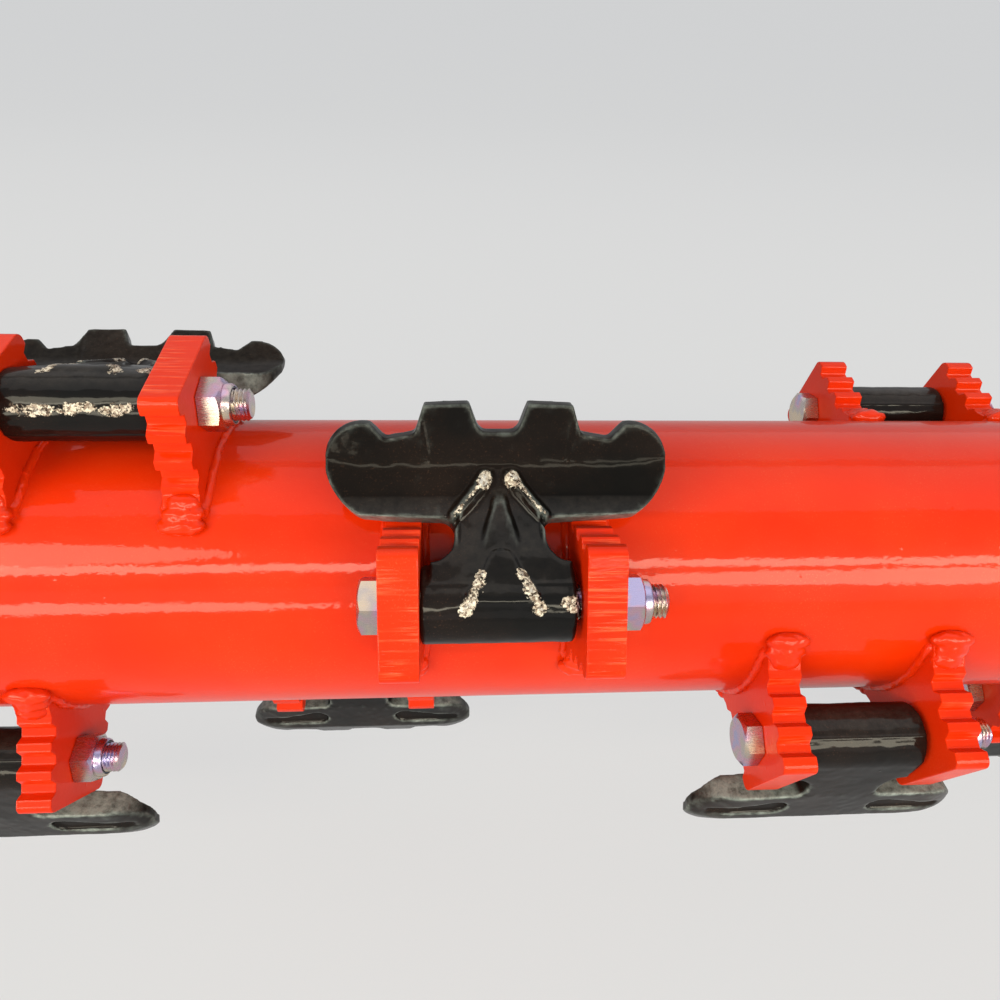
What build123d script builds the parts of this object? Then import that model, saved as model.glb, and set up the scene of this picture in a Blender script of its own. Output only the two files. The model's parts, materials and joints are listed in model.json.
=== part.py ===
from build123d import *
from math import asin, atan2, cos, degrees, radians, sin
import os

# Flail rotor of a forestry mulcher, in millimetres.
# X runs along the rotor, Z is up, and the open front of the mulcher looks to -Y.
# The origin is the centre of the left bearing flange, on the face that meets the side plate.
# An angle round the rotor is 0 at the front (-Y) and 90 at the top.

# Rotor tube and its closed ends
tube_od = 203.2
tube_wall = 12.5
tube_length = 1750.0
end_disc_thick = 20.0
end_disc_lip = 8.0
end_disc_spigot = 6.0
end_disc_chamfer = 2.0

# Stub shafts
shaft_flange_od = 170.0
shaft_flange_thick = 22.0
shoulder_od = 75.0
journal_od = 60.0
seal_od = 55.0
drive_od = 50.0
drive_length = 82.0
shaft_chamfer = 2.0
keyway_width = 14.0
keyway_depth = 5.5
keyway_length = 63.0
keyway_from_end = 4.0
keyway_angle = 108.0
pilot_od = 90.0
pilot_height = 5.0

# Bearing housings
flange_od = 200.0
flange_thick = 18.0
flange_bolt_circle = 165.0
flange_hole_d = 17.5
flange_holes = 4
spigot_od = 130.0
spigot_length = 16.0
spigot_bore = 92.0
housing_od = 142.0
housing_length = 52.0
bearing_od = 110.0
bearing_width = 28.0
bearing_back = 4.0
cover_thick = 10.0
cover_lip = 5.0
cover_boss_od = 84.0
cover_boss_height = 8.0
cover_hollow_od = 80.0
cover_hollow_depth = 5.0
cover_chamfer = 1.0
rib_reach = 86.0
rib_height = 35.0
rib_thick = 12.0
side_plate = 20.0
side_plate_gap = 14.0

# Lugs that carry the hammers: heights are above the tube
bolt_height = 36.9
lug_height = 65.4
lug_thick = 22.0
lug_gap = 90.0
lug_tip_half = 36.5
lug_foot_half = 44.0
lug_foot_depth = 1.6
lug_corner_r = 6.0
tooth_depth = 6.0
weld_leg = 12.0
weld_shoulder = 4.5
tooth_flat = 5.7
tooth_slope = 3.4
lug_crest_at_tip = 9.5
lug_teeth = 3

# Hammer bolts and lock nuts
bolt_d = 20.0
hex_across = 30.0
head_height = 12.5
nut_height = 14.0
nut_collar_height = 5.0
nut_collar_od = 27.0
thread_past_nut = 10.0
bolt_chamfer = 2.0

# Swinging hammers
eye_od = 44.5
eye_side_gap = 4.0
stem_half = 25.8
stem_flare_r = 14.0
wing_half = 99.5
wing_low = 48.5
wing_fillet_r = 8.0
wing_corner = (80.0, 50.5)
wing_shoulder = (92.0, 61.0)
wing_straight = 78.0
blade_fold = 84.0
blade_back = 15.0
blade_front = 7.0
blade_thick = 13.0
blade_mid = -1.5
tooth_thick = 12.0
tooth_lean = 30.0
scoop_front = 2.5
scoop_height = 62.0
fold_r = 20.0
fold_overlap = 3.0
inner_tooth = 35.4
# Tooth edge from the side to the middle notch: across, along the lean
tooth_edge = (
    (99.5, 8.0),
    (89.0, 23.5),
    (74.0, 23.5),
    (65.5, 14.5),
    (48.5, 17.5),
    (43.0, 34.5),
    (17.0, inner_tooth),
    (12.0, 21.5),
    (9.0, 18.5),
    (0.0, 18.5),
)
pocket_floor = 6.0
ridge_top = (4.0, 77.0)
ridge_front = 8.0
ridge_width = 6.5
hollow_depth = 3.5
hollow_top = 66.0
rib_foot_half = 8.5
rib_top_half = 3.0
pocket_root = (40.0, 69.0, 9.5)
pocket_tip = (84.0, 75.0, 3.5)

# Clearances
running = 0.05
pin_running = 0.08
seat = 0.3
slip = 0.1

# Rows of hammers: two helices that run the same way round the tube
rows_per_helix = 7
row_pitch = 245.0
row_turn = -54.0
# helix name, distance of its middle row from the tube's middle, angle of that row
helices = (
    ("a", 54.7, 30.0),
    ("b", -55.0, -99.4),
)
# Rows welded a little off their helix: name, shift along X, turn round the rotor
off_helix = (
    ("b6", -26.0, 6.4),
)
# How far a hammer swings from straight out: trailing side, leading side
swing_trailing = 107.7
swing_leading = -116.9
# Rows that lie against their leading stop instead of the trailing one
lies_forward = ("a2", "b1", "b7")

tube_r = tube_od / 2
bolt_circle_r = tube_r + bolt_height
lug_tip_r = tube_r + lug_height
disc_left_x = side_plate + side_plate_gap + shaft_flange_thick
tube_x = disc_left_x + end_disc_thick
tube_end_x = tube_x + tube_length
rotor_end_x = tube_end_x + end_disc_thick + shaft_flange_thick + side_plate_gap + side_plate
rotor_middle = tube_x + tube_length / 2
bolt_r = bolt_d / 2
eye_r = eye_od / 2
eye_left = -(lug_gap / 2 - seat)
eye_right = lug_gap / 2 - eye_side_gap
lug_outside = lug_gap / 2 + lug_thick

os.makedirs("parts", exist_ok=True)


def on_rotor(radius, angle):
    """Y and Z of a point at this radius and angle round the rotor."""
    return -radius * cos(radians(angle)), radius * sin(radians(angle))


def hang_angle(angle, name):
    """Direction a hammer points at rest: straight down, or against a stop."""
    down = (-90.0 - angle + 180.0) % 360.0 - 180.0
    if swing_leading <= down <= swing_trailing:
        return angle + down
    return angle + (swing_leading if name in lies_forward else swing_trailing)


# Rows in order: name, place along X, angle round the rotor
rows = []
for helix, offset, middle_angle in helices:
    for step in range(rows_per_helix):
        turn = step - rows_per_helix // 2
        name = f"{helix}{step + 1}"
        shift = sum(along for off_name, along, _ in off_helix if off_name == name)
        twist = sum(angle for off_name, _, angle in off_helix if off_name == name)
        rows.append((
            name,
            rotor_middle + offset + turn * row_pitch + shift,
            middle_angle + turn * row_turn + twist,
        ))

# Tube: seamless pipe, open at both ends for the discs
with BuildPart() as tube:
    with BuildSketch(Plane.YZ.offset(tube_x)):
        Circle(tube_r)
        Circle(tube_r - tube_wall, mode=Mode.SUBTRACT)
    extrude(amount=tube_length)
tube.part.label = "rotor_tube"
export_step(tube.part, "parts/rotor_tube.step")


def end_disc(face_x, inward):
    """Disc welded over a tube end, with a lip past the tube and a spigot inside it."""
    with BuildPart() as disc:
        with BuildSketch(Plane.YZ.offset(face_x)):
            Circle(tube_r + end_disc_lip)
        extrude(amount=-inward * end_disc_thick)
        chamfer(disc.edges().filter_by(GeomType.CIRCLE), end_disc_chamfer)
        with BuildSketch(Plane.YZ.offset(face_x)):
            Circle(tube_r - tube_wall - slip)
        extrude(amount=inward * end_disc_spigot)
        with BuildSketch(Plane.YZ.offset(face_x - inward * end_disc_thick)):
            Circle(pilot_od / 2 + slip)
        extrude(amount=inward * (pilot_height + slip), mode=Mode.SUBTRACT)
    return disc.part


for side, face_x, inward in (("left", tube_x, 1), ("right", tube_end_x, -1)):
    disc = end_disc(face_x, inward)
    disc.label = f"end_disc_{side}"
    export_step(disc, f"parts/end_disc_{side}.step")


def stub_shaft(disc_face, outward, driven):
    """Forged shaft: bolted flange, shoulder, bearing journal, seal land and perhaps a drive end."""
    flange_face = disc_face + outward * shaft_flange_thick
    plate_face = flange_face + outward * (side_plate_gap + side_plate)
    shoulder_end = plate_face + outward * bearing_back
    journal_end = shoulder_end + outward * (bearing_width + slip)
    barrel_end = plate_face + outward * housing_length
    seal_end = barrel_end - outward * slip
    if driven:
        seal_end = barrel_end + outward * (cover_thick + cover_boss_height)
    shaft_end = seal_end + outward * drive_length
    # half profile: place along X, radius
    profile = [
        (disc_face - outward * pilot_height, 0),
        (disc_face - outward * pilot_height, pilot_od / 2),
        (disc_face, pilot_od / 2),
        (disc_face, shaft_flange_od / 2),
        (flange_face, shaft_flange_od / 2),
        (flange_face, shoulder_od / 2),
        (shoulder_end, shoulder_od / 2),
        (shoulder_end, journal_od / 2),
        (journal_end, journal_od / 2),
        (journal_end, seal_od / 2),
        (seal_end, seal_od / 2),
    ]
    if driven:
        profile += [
            (seal_end, drive_od / 2),
            (shaft_end - outward * shaft_chamfer, drive_od / 2),
            (shaft_end, drive_od / 2 - shaft_chamfer),
        ]
    profile.append((profile[-1][0], 0))
    with BuildPart() as shaft:
        with BuildSketch(Plane.XY):
            with BuildLine():
                Polyline(*profile, close=True)
            make_face()
        revolve(axis=Axis.X)
        if driven:
            key_x = shaft_end - outward * (keyway_length / 2 + keyway_from_end)
            key_out = Vector(0, 0, 1).rotate(Axis.X, keyway_angle)
            key_floor = Vector(key_x, 0, 0) + key_out * (drive_od / 2 - keyway_depth)
            with BuildSketch(Plane(key_floor, x_dir=(1, 0, 0), z_dir=key_out)):
                SlotOverall(keyway_length, keyway_width)
            extrude(amount=keyway_depth + shaft_chamfer, mode=Mode.SUBTRACT)
    return shaft.part


def flange_housing(plate_face, outward):
    """Round cast housing: bolting flange, spigot into the side plate, ribbed barrel."""
    with BuildPart() as housing:
        with BuildSketch(Plane.YZ.offset(plate_face)):
            Circle(flange_od / 2)
        extrude(amount=outward * flange_thick)
        with BuildSketch(Plane.YZ.offset(plate_face)):
            Circle(spigot_od / 2)
        extrude(amount=-outward * spigot_length)
        with BuildSketch(Plane.YZ.offset(plate_face)):
            Circle(housing_od / 2)
        extrude(amount=outward * housing_length)
        # cast ribs from the barrel down to the flange, between the bolts
        with BuildSketch(Plane.YZ.offset(plate_face)):
            with PolarLocations(0, flange_holes):
                Rectangle(rib_reach, rib_thick, align=(Align.MIN, Align.CENTER))
        extrude(amount=outward * rib_height)
        with BuildSketch(Plane.YZ.offset(plate_face - outward * spigot_length)):
            Circle(spigot_bore / 2)
        extrude(amount=outward * (spigot_length + bearing_back), mode=Mode.SUBTRACT)
        with BuildSketch(Plane.YZ.offset(plate_face + outward * bearing_back)):
            Circle(bearing_od / 2 + running)
        extrude(amount=outward * housing_length, mode=Mode.SUBTRACT)
        with BuildSketch(Plane.YZ.offset(plate_face)):
            with PolarLocations(flange_bolt_circle / 2, flange_holes, start_angle=45):
                Circle(flange_hole_d / 2)
        extrude(amount=outward * flange_thick, mode=Mode.SUBTRACT)
    return housing.part


def bearing(plate_face, outward):
    """Roller bearing as one ring, seated in the housing and running on the journal."""
    with BuildPart() as ring:
        with BuildSketch(Plane.YZ.offset(plate_face + outward * (bearing_back + slip))):
            Circle(bearing_od / 2)
            Circle(journal_od / 2 + running, mode=Mode.SUBTRACT)
        extrude(amount=outward * bearing_width)
    return ring.part


def end_cover(plate_face, outward, driven):
    """Turned cover on the housing's outer end, with a lip inside and a raised boss."""
    barrel_end = plate_face + outward * housing_length
    with BuildPart() as cover:
        with BuildSketch(Plane.YZ.offset(barrel_end)):
            Circle(housing_od / 2)
        extrude(amount=outward * cover_thick)
        with BuildSketch(Plane.YZ.offset(barrel_end + outward * cover_thick)):
            Circle(cover_boss_od / 2)
        extrude(amount=outward * cover_boss_height)
        with BuildSketch(Plane.YZ.offset(barrel_end)):
            Circle(bearing_od / 2)
        extrude(amount=-outward * cover_lip)
        if driven:
            with BuildSketch(Plane.YZ.offset(barrel_end - outward * cover_lip)):
                Circle(seal_od / 2 + seat)
            extrude(amount=outward * (cover_lip + cover_thick + cover_boss_height),
                    mode=Mode.SUBTRACT)
        else:
            with BuildSketch(Plane.YZ.offset(barrel_end - outward * cover_lip)):
                Circle(cover_hollow_od / 2)
            extrude(amount=outward * (cover_lip + cover_hollow_depth), mode=Mode.SUBTRACT)
        chamfer(cover.edges().filter_by(GeomType.CIRCLE).sort_by(Axis.X)[-1 if outward > 0 else 0],
                cover_chamfer)
    return cover.part


# side, side plate face, direction out of the machine, face of the end disc, driven or not
for side, plate_face, outward, disc_face, driven in (
    ("left", 0.0, -1, disc_left_x, False),
    ("right", rotor_end_x, 1, tube_end_x + end_disc_thick, True),
):
    for name, piece in (
        ("stub_shaft", stub_shaft(disc_face, outward, driven)),
        ("bearing_housing", flange_housing(plate_face, outward)),
        ("bearing", bearing(plate_face, outward)),
        ("bearing_cover", end_cover(plate_face, outward, driven)),
    ):
        piece.label = f"{name}_{side}"
        export_step(piece, f"parts/{name}_{side}.step")


def lug_flank():
    """Right flank of a lug from its tip down: points (across, out from the rotor axis)."""
    lean = (lug_foot_half - lug_tip_half) / (lug_height + lug_foot_depth)

    def half_at(height, cut):
        return lug_tip_half + (lug_tip_r - height) * lean - cut

    height = lug_tip_r
    points = [(half_at(height, 0), height)]
    height -= lug_crest_at_tip
    points.append((half_at(height, 0), height))
    for tooth in range(lug_teeth):
        if tooth:
            height -= tooth_flat
            points.append((half_at(height, 0), height))
        height -= tooth_slope
        points.append((half_at(height, tooth_depth), height))
        height -= tooth_flat
        points.append((half_at(height, tooth_depth), height))
        height -= tooth_slope
        points.append((half_at(height, 0), height))
    # the end weld spreads from below the last tooth out onto the tube
    height -= weld_shoulder
    points.append((half_at(height, 0), height))
    toe = lug_foot_half + weld_leg
    points.append((toe, tube_r * cos(asin(toe / tube_r)) - slip))
    return points


# Lug: flame-cut plate with toothed flanks, its foot cut to the tube
with BuildPart() as lug:
    with BuildSketch(Plane.YZ) as lug_face:
        with BuildLine():
            right = lug_flank()
            left = [(-y, z) for y, z in reversed(right)]
            Polyline(*right, *left, close=True)
        make_face()
        fillet(lug_face.vertices().group_by(Axis.Y)[-1], lug_corner_r)
        Circle(tube_r + slip, mode=Mode.SUBTRACT)
        with Locations((0, bolt_circle_r)):
            Circle(bolt_r + slip, mode=Mode.SUBTRACT)
    extrude(amount=lug_thick)

for name, row_x, row_angle in rows:
    pair = Compound(children=[
        lug.part.moved(Location((row_x + shift, 0, 0), (90 - row_angle, 0, 0)))
        for shift in (-lug_outside, lug_gap / 2)
    ])
    pair.label = f"lugs_{name}"
    export_step(pair, f"parts/lugs_{name}.step")

# Hammer bolt: hexagon head against the left lug, shank through both lugs
with BuildPart() as bolt:
    with BuildSketch(Plane.YZ.offset(-lug_outside)):
        RegularPolygon(hex_across / 2, 6, major_radius=False)
    extrude(amount=-head_height)
    with BuildSketch(Plane.YZ.offset(-lug_outside)):
        Circle(bolt_r)
    extrude(amount=2 * lug_outside + nut_height + nut_collar_height + thread_past_nut)
    chamfer(bolt.faces().sort_by(Axis.X)[-1].edges(), bolt_chamfer)

# Lock nut: hexagon with a turned collar over its insert
with BuildPart() as nut:
    with BuildSketch(Plane.YZ.offset(lug_outside)):
        RegularPolygon(hex_across / 2, 6, major_radius=False)
    extrude(amount=nut_height)
    with BuildSketch(Plane.YZ.offset(lug_outside + nut_height)):
        Circle(nut_collar_od / 2)
    extrude(amount=nut_collar_height)
    chamfer(nut.faces().sort_by(Axis.X)[-1].edges(), bolt_chamfer)
    with BuildSketch(Plane.YZ.offset(lug_outside)):
        Circle(bolt_r + slip)
    extrude(amount=nut_height + nut_collar_height, mode=Mode.SUBTRACT)

for name, piece in (("hammer_bolts", bolt.part), ("lock_nuts", nut.part)):
    fixed = []
    for _, row_x, row_angle in rows:
        place = (row_x, *on_rotor(bolt_circle_r, row_angle))
        fixed.append(piece.moved(Location(place, (90 - row_angle, 0, 0))))
    fixed_set = Compound(children=fixed)
    fixed_set.label = name
    export_step(fixed_set, f"parts/{name}.step")

# Hammer, forged in one piece. It is drawn standing on its eye: X along the bolt,
# Z out from the eye, and -Y towards the cutting side.
lean_cos, lean_sin = cos(radians(tooth_lean)), sin(radians(tooth_lean))
tooth_plane = Plane(
    origin=(0, -blade_mid, blade_fold),
    x_dir=(1, 0, 0),
    z_dir=(0, -lean_cos, -lean_sin),
)


def leaned(along, across):
    """Y and Z of a point on the leaned teeth: along them, and across towards the front."""
    return (
        -blade_mid - along * lean_sin - across * lean_cos,
        blade_fold + along * lean_cos - across * lean_sin,
    )


# What is left of the blade seen from the front: wings below the fold, teeth above it
with BuildPart() as blank:
    with BuildSketch(Plane.XZ):
        with BuildLine():
            start = Line((0, blade_fold + fold_overlap), (wing_half, blade_fold + fold_overlap))
            Line(start @ 1, (wing_half, wing_straight))
            ThreePointArc((wing_half, wing_straight), wing_shoulder, wing_corner)
            Line(wing_corner, (stem_half + wing_fillet_r, wing_low))
            RadiusArc((stem_half + wing_fillet_r, wing_low),
                      (stem_half, wing_low - wing_fillet_r), -wing_fillet_r)
            Polyline((stem_half, wing_low - wing_fillet_r), (0, wing_low - wing_fillet_r),
                     (0, blade_fold + fold_overlap))
        make_face()
        mirror(about=Plane.YZ)
    extrude(amount=eye_od, both=True)
    with BuildSketch(tooth_plane):
        with BuildLine():
            Polyline((0, -fold_overlap), (wing_half, -fold_overlap), *tooth_edge, close=True)
        make_face()
        mirror(about=Plane.YZ)
    extrude(amount=eye_r, both=True)

# Stem between the eye and the blade, flared where it meets the eye. Its front narrows
# up the blade between two ridges, hollow on both sides of a middle rib.
flare_top = eye_r + stem_flare_r
flare_half = stem_half + stem_flare_r
ridge_tilt = degrees(atan2(eye_r - ridge_front, ridge_top[1]))
with BuildPart() as stem:
    with BuildSketch(Plane.YZ):
        with BuildLine():
            Polyline((-eye_r, 0), (-ridge_front, ridge_top[1]), (blade_mid, ridge_top[1]),
                     (blade_back, wing_low), (eye_r, 0), close=True)
        make_face()
    extrude(amount=eye_od, both=True)
    with BuildSketch(Plane.XZ):
        with BuildLine():
            Polyline((flare_half, 0), (0, 0), (0, ridge_top[1]), ridge_top,
                     (stem_half, wing_low - wing_fillet_r), (stem_half, flare_top))
            RadiusArc((stem_half, flare_top), (flare_half, eye_r), -stem_flare_r)
            Line((flare_half, eye_r), (flare_half, 0))
        make_face()
        mirror(about=Plane.YZ)
    extrude(amount=eye_od, both=True, mode=Mode.INTERSECT)
    # hollows on both sides of the rib, cut square to the sloping front
    front = Plane(origin=(0, -eye_r, 0), x_dir=(1, 0, 0), z_dir=(0, -1, 0)).rotated((-ridge_tilt, 0, 0))
    with BuildSketch(front):
        with BuildLine():
            Polyline(
                (rib_foot_half, flare_top), (rib_top_half, hollow_top),
                (ridge_top[0], hollow_top),
                (stem_half - ridge_width, wing_low - wing_fillet_r),
                (stem_half - ridge_width, flare_top), close=True,
            )
        make_face()
        mirror(about=Plane.YZ)
    extrude(amount=-hollow_depth, mode=Mode.SUBTRACT)

with BuildPart() as hammer:
    # blade from the side: thick at its lower edge, folded forward into the teeth
    with BuildSketch(Plane.YZ) as blade_side:
        with BuildLine():
            Polyline(
                (-blade_front, wing_low - wing_fillet_r),
                (-blade_front, wing_low),
                (-scoop_front, scoop_height),
                leaned(0, blade_thick / 2),
                leaned(inner_tooth, tooth_thick / 2),
                leaned(inner_tooth, -tooth_thick / 2),
                leaned(0, -blade_thick / 2),
                (blade_back, wing_low),
                (blade_back, wing_low - wing_fillet_r),
                close=True,
            )
        make_face()
        front_fold, back_fold = blade_side.vertices().sort_by(Axis.Y)[5:7]
        fillet(front_fold, fold_r)
        fillet(back_fold, fold_r + blade_thick)
    extrude(amount=wing_half, both=True)
    add(blank.part, mode=Mode.INTERSECT)
    add(stem.part)
    with BuildSketch(Plane.YZ.offset(eye_left)):
        Circle(eye_r)
    extrude(amount=eye_right - eye_left)
    with BuildSketch(Plane.YZ.offset(eye_left)):
        Circle(bolt_r + pin_running)
    extrude(amount=eye_right - eye_left, mode=Mode.SUBTRACT)
    # forged pocket in the back of each wing, blunt at the stem and narrow at the tip
    with BuildSketch(Plane.XZ.offset(-pocket_floor)):
        for x, z, r in (pocket_root, pocket_tip):
            with Locations((x, z)):
                Circle(r)
        make_hull()
        mirror(about=Plane.YZ)
    extrude(amount=-blade_back, mode=Mode.SUBTRACT)

for name, row_x, row_angle in rows:
    place = (row_x, *on_rotor(bolt_circle_r, row_angle))
    swung = hammer.part.moved(Location(place, (90 - hang_angle(row_angle, name), 0, 0)))
    swung.label = f"hammer_{name}"
    export_step(swung, f"parts/hammer_{name}.step")
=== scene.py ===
import json
from math import atan2, cos, hypot, pi, radians, sin, tan, tau

import bmesh
import bpy
import numpy as np
from mathutils import Matrix, Vector, noise

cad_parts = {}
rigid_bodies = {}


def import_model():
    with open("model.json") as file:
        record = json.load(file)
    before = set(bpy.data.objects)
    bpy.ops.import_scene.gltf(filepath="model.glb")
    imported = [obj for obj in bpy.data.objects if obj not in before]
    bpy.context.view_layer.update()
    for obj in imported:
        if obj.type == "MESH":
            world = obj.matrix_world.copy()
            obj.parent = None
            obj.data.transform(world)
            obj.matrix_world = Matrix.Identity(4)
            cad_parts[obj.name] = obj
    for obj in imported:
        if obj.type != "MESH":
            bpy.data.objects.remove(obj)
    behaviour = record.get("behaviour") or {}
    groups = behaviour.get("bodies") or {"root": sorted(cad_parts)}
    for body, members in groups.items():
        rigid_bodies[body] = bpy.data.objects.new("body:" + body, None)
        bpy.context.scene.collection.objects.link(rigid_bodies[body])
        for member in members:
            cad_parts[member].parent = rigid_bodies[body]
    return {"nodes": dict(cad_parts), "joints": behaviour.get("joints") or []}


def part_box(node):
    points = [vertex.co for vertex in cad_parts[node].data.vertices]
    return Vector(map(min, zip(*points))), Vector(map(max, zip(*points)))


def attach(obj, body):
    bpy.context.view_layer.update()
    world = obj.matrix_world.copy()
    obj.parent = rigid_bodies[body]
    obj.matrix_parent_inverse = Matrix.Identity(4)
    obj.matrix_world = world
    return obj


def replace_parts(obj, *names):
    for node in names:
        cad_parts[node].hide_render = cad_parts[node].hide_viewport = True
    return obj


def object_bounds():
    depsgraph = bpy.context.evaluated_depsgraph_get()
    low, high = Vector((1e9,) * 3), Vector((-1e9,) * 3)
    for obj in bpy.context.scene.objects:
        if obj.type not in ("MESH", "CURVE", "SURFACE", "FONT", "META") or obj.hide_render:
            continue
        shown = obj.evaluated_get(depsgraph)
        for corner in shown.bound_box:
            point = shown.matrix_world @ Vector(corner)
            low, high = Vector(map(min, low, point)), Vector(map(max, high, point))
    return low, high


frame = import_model()
cad_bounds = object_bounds()

# ROTOR TUBE
# Seamless steel pipe, 203 mm across with a 12.5 mm wall. It is cut to length, its lugs are
# welded on, and then the whole rotor is sprayed with orange-red enamel that dries to a thick
# gloss with orange peel, soft sags and dust nibs.


def node(tree, kind, inputs=None, **settings):
    """Adds a node. An input is a value, or a socket that it is linked from."""
    made = tree.nodes.new(kind)
    for name, value in settings.items():
        setattr(made, name, value)
    for name, value in (inputs or {}).items():
        if isinstance(value, bpy.types.NodeSocket):
            tree.links.new(value, made.inputs[name])
        else:
            made.inputs[name].default_value = value
    return made


def math_node(tree, operation, first, second=0.0, third=0.0, clamp=False):
    """The result of one Math node."""
    made = node(tree, "ShaderNodeMath", {0: first, 1: second, 2: third}, operation=operation)
    made.use_clamp = clamp
    return made.outputs[0]


def noise_over(tree, where, scale, detail=2.0, **more):
    """Values of a noise texture over these coordinates."""
    return node(tree, "ShaderNodeTexNoise", {
        "Vector": where, "Scale": scale, "Detail": detail, **more}).outputs["Fac"]


def from_range(tree, value, start, end, to_start=0.0, to_end=1.0):
    """A value between start and end, spread over 0 to 1 or over another range."""
    return node(tree, "ShaderNodeMapRange", {
        "Value": value, "From Min": start, "From Max": end, "To Min": to_start, "To Max": to_end}).outputs[0]


def mixed(tree, share, first, second):
    """A colour between the first and the second."""
    return node(tree, "ShaderNodeMix", {0: share, 6: first, 7: second}, data_type="RGBA").outputs[2]


def node_group(name, kind, inputs, outputs):
    """A node group with these sockets, given as name: (type, value), and its two ends."""
    tree = bpy.data.node_groups.new(name, kind)
    for title, (socket_type, value) in inputs.items():
        socket = tree.interface.new_socket(title, in_out="INPUT", socket_type=socket_type)
        if value is not None:
            socket.default_value = value
    for title, socket_type in outputs.items():
        tree.interface.new_socket(title, in_out="OUTPUT", socket_type=socket_type)
    return tree, tree.nodes.new("NodeGroupInput").outputs, tree.nodes.new("NodeGroupOutput").inputs


NUMBER, INTEGER, COLOUR = "NodeSocketFloat", "NodeSocketInt", "NodeSocketColor"
PLACE, MESH, PAINT, PART = ("NodeSocketVector", "NodeSocketGeometry", "NodeSocketMaterial",
                            "NodeSocketObject")


def link_object(name, mesh):
    """A linked object at the origin that shows this mesh."""
    made = bpy.data.objects.new(name, mesh)
    bpy.context.scene.collection.objects.link(made)
    return made


def drop(thing):
    """Deletes a pattern object that was only copied from."""
    bpy.data.objects.remove(thing, do_unlink=True)


def settled(thing):
    """Turns an object's live modifiers into its plain mesh."""
    graph = bpy.context.evaluated_depsgraph_get()
    mesh = bpy.data.meshes.new_from_object(
        thing.evaluated_get(graph), preserve_all_data_layers=True, depsgraph=graph)
    thing.modifiers.clear()
    thing.data = mesh
    return thing


def grown(name, tree, **values):
    """A new object made by a geometry tree, given its inputs by name, as a plain mesh."""
    thing = link_object(name, bpy.data.meshes.new(name))
    modifier = thing.modifiers.new("grown", "NODES")
    modifier.node_group = tree
    for item in tree.interface.items_tree:
        if item.in_out == "INPUT" and item.name.replace(" ", "_") in values:
            modifier[item.identifier] = values[item.name.replace(" ", "_")]
    return settled(thing)


def shade(thing, angle):
    """Smooth shading, with edges sharper than this angle in degrees left hard."""
    thing.data.shade_smooth()
    thing.data.set_sharp_from_angle(angle=radians(angle))
    return thing


def material(name, **constants):
    """A material with a Principled shader and its constant sockets set."""
    made = bpy.data.materials.new(name)
    made.use_nodes = True
    tree = made.node_tree
    shader = tree.nodes["Principled BSDF"]
    for socket, value in constants.items():
        shader.inputs[socket.replace("_", " ")].default_value = value
    return made, tree, shader


# Sprayed enamel over steel: its colour, gloss and the relief of its surface
film, film_in, film_out = node_group(
    "sprayed film", "ShaderNodeTree",
    {"Coordinates": (PLACE, None), "Paint": (COLOUR, (1, 1, 1, 1)), "Deep paint": (COLOUR, (1, 1, 1, 1)),
     "Gloss": (NUMBER, 0.2), "Peel": (NUMBER, 0.5), "Nibs": (NUMBER, 0.5)},
    {"Color": COLOUR, "Roughness": NUMBER, "Height": NUMBER})
film_sag = noise_over(film, film_in["Coordinates"], 26.0)
film_peel = noise_over(film, film_in["Coordinates"], 230.0)
film_tone = noise_over(film, film_in["Coordinates"], 9.0, 4.0)
film_nib = node(film, "ShaderNodeTexVoronoi", {"Vector": film_in["Coordinates"], "Scale": 75.0})
nib_size = math_node(film, "MULTIPLY", film_in["Nibs"], 0.16)
nib_slope = math_node(film, "DIVIDE", film_nib.outputs["Distance"], nib_size)
nib = math_node(film, "SUBTRACT", 1.0, nib_slope, clamp=True)
# only one nib in four is there
nib_there = math_node(film, "GREATER_THAN", node(
    film, "ShaderNodeSeparateColor", {0: film_nib.outputs["Color"]}).outputs[0], 0.74)
nib = math_node(film, "MULTIPLY", nib, nib_there)
peel_height = math_node(film, "MULTIPLY", film_peel, film_in["Peel"])
relief = math_node(film, "MULTIPLY_ADD", film_sag, 2.2, peel_height)
relief = math_node(film, "MULTIPLY_ADD", nib, 1.5, relief)
paint = mixed(film, from_range(film, film_tone, 0.35, 0.65), film_in["Paint"], film_in["Deep paint"])
gloss = math_node(film, "MULTIPLY_ADD", film_tone, 0.10, film_in["Gloss"])
film.links.new(paint, film_out["Color"])
film.links.new(gloss, film_out["Roughness"])
film.links.new(relief, film_out["Height"])

# Fine dust that lies on a surface in clouds and specks
dust, dust_in, dust_out = node_group(
    "dust", "ShaderNodeTree", {"Coordinates": (PLACE, None), "Amount": (NUMBER, 0.3)}, {"Mask": NUMBER})
cloud = from_range(dust, noise_over(dust, dust_in["Coordinates"], 14.0, 6.0), 0.40, 0.75)
speck = from_range(dust, noise_over(dust, dust_in["Coordinates"], 900.0), 0.60, 0.74)
lying = math_node(dust, "MULTIPLY", math_node(dust, "ADD", speck, 0.18), cloud)
dust.links.new(math_node(dust, "MULTIPLY", lying, dust_in["Amount"], clamp=True), dust_out["Mask"])


def own_coordinates(tree):
    """Coordinates of the object, in the rotor's frame."""
    return node(tree, "ShaderNodeTexCoord").outputs["Object"]


def both_normals(tree, bump, shader):
    """Feeds a bump to the paint and to the clear skin of its gloss."""
    for socket in ("Normal", "Coat Normal"):
        tree.links.new(bump, shader.inputs[socket])


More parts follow.
